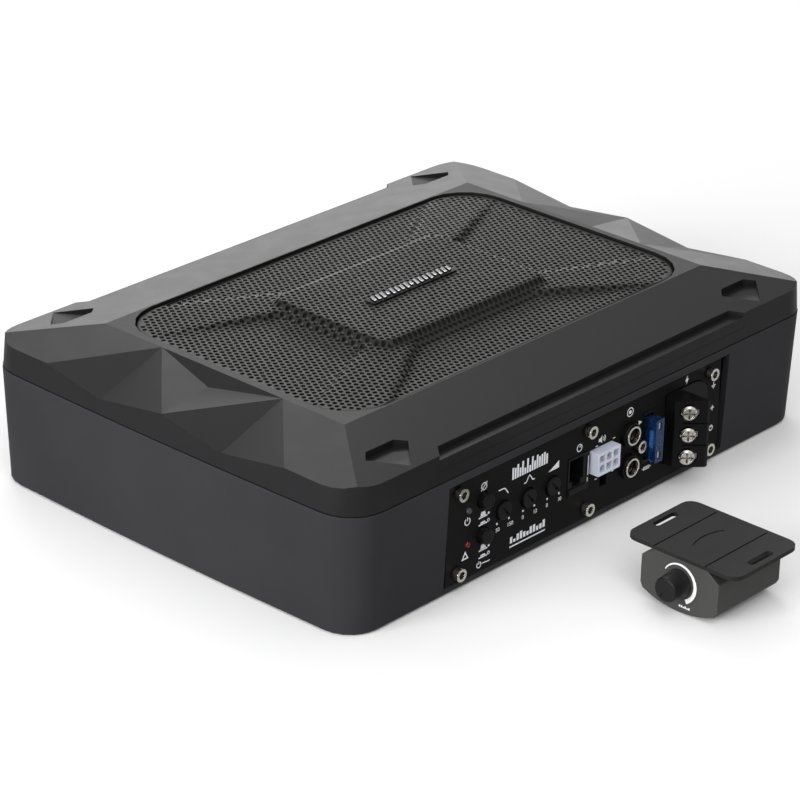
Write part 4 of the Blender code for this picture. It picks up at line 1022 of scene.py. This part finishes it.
def build_phono_contacts():
    """Thin gold tube in the middle of each phono jack."""
    bm = bmesh.new()
    for name in ("rca_sleeve_right", "rca_sleeve_left"):
        middle = panel_box(name)[0]
        slab(bm, [circle(1.5, 20, middle), circle(1.05, 20, middle)[::-1]], -6.8, 0.7, on_panel)
    add_piece("phono_contacts", bm, "gold")


# ---- print
# A mark is a list of plates; a plate is a list of loops, its outline first and then its holes.

def open_circle(r):
    return [circle(r, 20), circle(r - LINE, 20)]


def mark_slash_circle(r):
    return [open_circle(r), [stroke([(-r, -r), (r, r)], 0.26)]]


def mark_power(r):
    return [[stroke(arc(r, 125, 415, steps=18), 0.3)], [stroke([(0, 0.15 * r), (0, 1.25 * r)], 0.3)]]


def mark_triangle(r):
    outer = [(-r, -0.8 * r), (r, -0.8 * r), (0, r)]
    inner = [(-0.55 * r, -0.52 * r), (0.55 * r, -0.52 * r), (0, 0.45 * r)]
    return [[outer, inner]]


def mark_push(r, out):
    """Push button sign: a base line and a block that stands out of it or sits in it."""
    top = 0.9 * r if out else 0.25 * r
    return [[rectangle(-1.4 * r, 1.4 * r, -0.55 * r, -0.25 * r)],
            [[(-0.9 * r, -0.15 * r), (0.9 * r, -0.15 * r), (0.6 * r, top), (-0.6 * r, top)]]]


def mark_knob(r):
    return [open_circle(r), [stroke([(0, 0.15 * r), (0.62 * r, 0.62 * r)], 0.3)]]


def mark_speaker(r):
    lower = [(-1.2 * r, -0.4 * r), (-0.6 * r, -0.4 * r), (0.0, -r)]
    horn = lower + [(x, -y) for x, y in reversed(lower)]
    waves = [[stroke(arc(k * r, -42, 42, steps=8), LINE)] for k in (0.7, 1.2)]
    return [[horn]] + waves


def mark_rings(r):
    return [open_circle(r), [circle(0.42 * r, 12)]]


def mark_fuse(r):
    frame_outer = rectangle(-1.3 * r, 1.3 * r, -0.5 * r, 0.5 * r)
    frame_inner = rectangle(-1.3 * r + 0.26, 1.3 * r - 0.26, -0.5 * r + 0.26, 0.5 * r - 0.26)
    return [[frame_outer, frame_inner], [stroke([(-1.9 * r, 0), (1.9 * r, 0)], 0.24)]]


def mark_bolt(r):
    points = ((-0.1, -1.0), (0.65, 0.2), (0.1, 0.2), (0.3, 1.0), (-0.6, -0.2), (-0.05, -0.2))
    return [[[(x * r, y * r) for x, y in points]]]


def mark_ground(r):
    lines = [[stroke([(-w, -k), (w, -k)], 0.26)] for w, k in ((r, 0.1), (0.62 * r, 0.55), (0.28 * r, 1.0))]
    return [[stroke([(0, r), (0, -0.1)], 0.26)]] + lines


def mark_plus(r):
    return [[rectangle(-r, r, -0.14, 0.14)], [rectangle(-0.14, 0.14, -r, -0.16)],
            [rectangle(-0.14, 0.14, 0.16, r)]]


def mark_bars(width, height, count, seed):
    """Row of upright bars whose heights swing like a level meter."""
    pitch = width / count
    marks = []
    for i in range(count):
        x = -width / 2 + (i + 0.5) * pitch
        tall = height * (0.35 + 0.65 * abs(math.sin(seed * i + 0.8)))
        marks.append([rectangle(x - 0.34 * pitch, x + 0.34 * pitch, -height / 2, -height / 2 + tall)])
    return marks


def stamp(bm, marks, u, v, place, grow=1.0):
    """Prints marks, grown by a factor, with their middle at (u, v)."""
    for loops in marks:
        moved = [[(u + grow * a, v + grow * b) for a, b in loop] for loop in loops]
        slab(bm, [moved[0]] + [hole[::-1] for hole in moved[1:]], 0.0, INK, place)


def stamp_digits(bm, text, u, v):
    """Prints a number on the panel with its middle at (u, v)."""
    curve = bpy.data.curves.new("digits", "FONT")
    curve.body = text
    curve.align_x = "CENTER"
    curve.align_y = "CENTER"
    curve.size = DIGIT_SIZE
    curve.extrude = INK / 2
    holder = add_object("digits", curve)
    bpy.context.view_layer.update()
    mesh = bpy.data.meshes.new_from_object(holder.evaluated_get(bpy.context.evaluated_depsgraph_get()))
    bpy.data.objects.remove(holder, do_unlink=True)
    for vertex in mesh.vertices:
        x, y, z = vertex.co
        vertex.co = on_panel(u + x, v + y, z + INK / 2)
    bm.from_mesh(mesh)
    bpy.data.meshes.remove(mesh)


def build_panel_print():
    """White signs and dial numbers that stand where the panel's labels stand."""
    dot = [[circle(0.4, 10)]]
    small_dot = [[circle(0.36, 10)]]
    ring = [[circle(0.55, 12), circle(0.3, 12)]]
    dash = [[rectangle(-0.5, 0.5, -0.14, 0.14)]]
    lead = [(-1.6, 0), (-0.4, 0), (0.2, -0.12), (1.8, -0.12)]
    fall = [(-2.2, 0.8), (-0.2, 0.8), (0.5, 0.6), (1.0, 0.0), (2.0, -1.3)]
    hill = [(-2.3, -0.9), (-1.4, -0.8), (-0.7, 0.3), (0.0, 1.1), (0.7, 0.3), (1.4, -0.8), (2.3, -0.9)]
    ramp = [(-2.3, -1.1), (2.3, -1.1), (2.3, 1.2)]
    brace = [(0.0, 2.6), (0.9, 2.0), (1.1, 0.0), (0.9, -2.0), (0.0, -2.6)]
    signs = [
        (mark_slash_circle(1.25), -66.5, 39.8), (mark_power(1.1), -75.6, 28.0),
        (mark_triangle(1.45), -76.4, 13.6),
        (mark_push(1.3, True), -66.6, 27.5), (mark_push(1.3, False), -66.6, 24.4),
        (mark_push(1.3, True), -66.0, 13.2), (mark_push(1.3, False), -66.0, 10.1),
        (dot, -63.4, 27.4), (ring, -63.4, 24.3), (dot, -62.8, 13.1), (ring, -62.8, 10.0),
        (mark_power(0.9), -68.2, 6.6), ([[stroke(lead, 0.3)]], -64.2, 6.6),
        ([[stroke(fall, 0.34)]], -54.9, 33.6), ([[stroke(hill, 0.34)]], -39.8, 33.6), ([[ramp]], -25.3, 33.6),
    ]
    signs += [(small_dot, u, 20.6) for u in (-58.3, -51.3, -43.0, -36.3, -28.6, -21.5)]
    signs += [(mark_knob(1.25), -9.9, 36.2), (mark_speaker(1.25), 4.0, 35.2)]
    signs += [(dash, u, v) for u, v in ((0.9, 33.2), (11.6, 33.2), (1.2, 18.6), (11.6, 18.6))]
    signs += [
        (mark_rings(1.5), 21.2, 41.2), ([[[(-0.7, -0.8), (0.9, 0.0), (-0.7, 0.8)]]], 27.9, 34.4),
        ([[[(0.7, -0.8), (0.7, 0.8), (-0.9, 0.0)]]], 27.9, 14.6), (mark_fuse(1.1), 33.6, 12.2),
        (mark_bolt(1.4), 57.2, 43.4), (mark_ground(1.0), 75.6, 35.1), (mark_plus(0.9), 75.6, 24.8),
        (mark_knob(0.95), 75.6, 15.6), ([[stroke(brace, LINE)]], 72.6, 21.6),
    ]
    bm = bmesh.new()
    for marks, u, v in signs:
        stamp(bm, marks, u, v, on_panel, SIGN_GROW)
    for text, u in (("50", -57.8), ("150", -50.5), ("0", -43.0), ("12", -35.7), ("0", -28.6), ("10", -21.1)):
        stamp_digits(bm, text, u, 17.8)
    stamp(bm, mark_bars(21.4, 6.2, 15, 1.7), -39.7, 39.6, on_panel)
    stamp(bm, mark_bars(21.3, 3.3, 11, 2.3), -39.8, 10.6, on_panel)
    stamp(bm, [[rectangle(-10.6, 10.6, -0.3, 0.3)]], -39.8, 7.4, on_panel)
    add_piece("panel_print", bm, "white_ink")


def build_remote_print():
    """Tapering white arc round the knob, with small bars below it."""
    middle = 7.7
    steps = 24
    outer = []
    inner = []
    for i in range(steps + 1):
        share = i / steps
        angle = math.radians(152 - 214 * share)
        half = 0.2 + 0.7 * share
        outer.append(((middle + half) * math.cos(angle), KNOB_Z + (middle + half) * math.sin(angle)))
        inner.append(((middle - half) * math.cos(angle), KNOB_Z + (middle - half) * math.sin(angle)))
    bm = bmesh.new()
    slab(bm, [outer + inner[::-1]], 0.0, INK, on_remote)
    stamp(bm, mark_bars(5.4, 1.0, 6, 1.3), 3.2, 3.1, on_remote)
    add_piece("remote_print", bm, "white_ink", body="remote")


# ---- stage

def add_camera():
    forward = Vector(CAMERA_FORWARD).normalized()
    level_right = forward.cross(Vector((0, 0, 1))).normalized()
    level_up = level_right.cross(forward)
    roll = math.radians(CAMERA_ROLL)
    right = math.cos(roll) * level_right + math.sin(roll) * level_up
    up = -math.sin(roll) * level_right + math.cos(roll) * level_up
    data = bpy.data.cameras.new("camera")
    data.sensor_width = 36.0
    data.lens = CAMERA_LENS
    data.shift_x, data.shift_y = CAMERA_SHIFT
    data.clip_start = 0.05
    data.clip_end = 50.0
    camera = add_object("camera", data)
    columns = (right, up, -forward)
    turn = Matrix([[c[i] for c in columns] for i in range(3)]).to_4x4()
    camera.matrix_world = Matrix.Translation(Vector(CAMERA_PLACE)) @ turn
    bpy.context.scene.camera = camera


def add_softbox(name, place, target, width, height, power):
    data = bpy.data.lights.new(name, "AREA")
    data.shape = "RECTANGLE"
    data.size = width
    data.size_y = height
    data.energy = power
    light = add_object(name, data)
    light.location = place
    light.rotation_mode = "QUATERNION"
    light.rotation_quaternion = (Vector(target) - Vector(place)).to_track_quat("-Z", "Y")


def add_floor():
    bm = bmesh.new()
    bmesh.ops.create_grid(bm, x_segments=1, y_segments=1, size=6.0)
    mesh = bpy.data.meshes.new("floor")
    bm.to_mesh(mesh)
    bm.free()
    floor = add_object("floor", mesh)
    f = Finish("floor_paint")
    shown = f.blend(f.noise(400.0), (0.86, 0.86, 0.86, 1.0), (0.90, 0.90, 0.90, 1.0))
    mesh.materials.append(f.finish(shown, 0.9, gloss=0.1))
    floor.location.z = -0.0002
    floor.visible_glossy = False


def add_world():
    """White room whose light changes with the height of the view direction, as in WORLD_LIGHT."""
    world = bpy.data.worlds.new("studio")
    world.use_nodes = True
    bpy.context.scene.world = world
    tree = world.node_tree
    view = new_node(tree, "ShaderNodeTexCoord").outputs["Generated"]
    height = new_node(tree, "ShaderNodeSeparateXYZ", (("Vector", view),)).outputs["Z"]
    share = new_node(tree, "ShaderNodeMath", ((0, height), (1, 0.5), (2, 0.5)), operation="MULTIPLY_ADD")
    curve = new_node(tree, "ShaderNodeFloatCurve", (("Value", share.outputs["Value"]),))
    points = curve.mapping.curves[0].points
    points[0].location = (0.0, WORLD_LIGHT[0][1])
    points[1].location = (1.0, WORLD_LIGHT[-1][1])
    for level_of_view, strength in WORLD_LIGHT[1:-1]:
        points.new(level_of_view / 2 + 0.5, strength)
    curve.mapping.update()
    background = tree.nodes["Background"]
    feed(tree, background.inputs["Color"], (1.0, 1.0, 1.0, 1.0))
    feed(tree, background.inputs["Strength"], curve.outputs["Value"])


def add_stage():
    add_floor()
    add_world()
    for softbox in SOFTBOXES:
        add_softbox(*softbox)
    bpy.context.scene.view_settings.view_transform = "Standard"
    add_camera()


# ---- build

dress_cad()
build_grille()
build_badge()
build_surround()
build_spider()
build_cone()
build_gaskets()
build_fuse()
build_remote_jack()
build_speaker_socket()
build_phono_contacts()
build_panel_print()
build_remote_print()
add_stage()
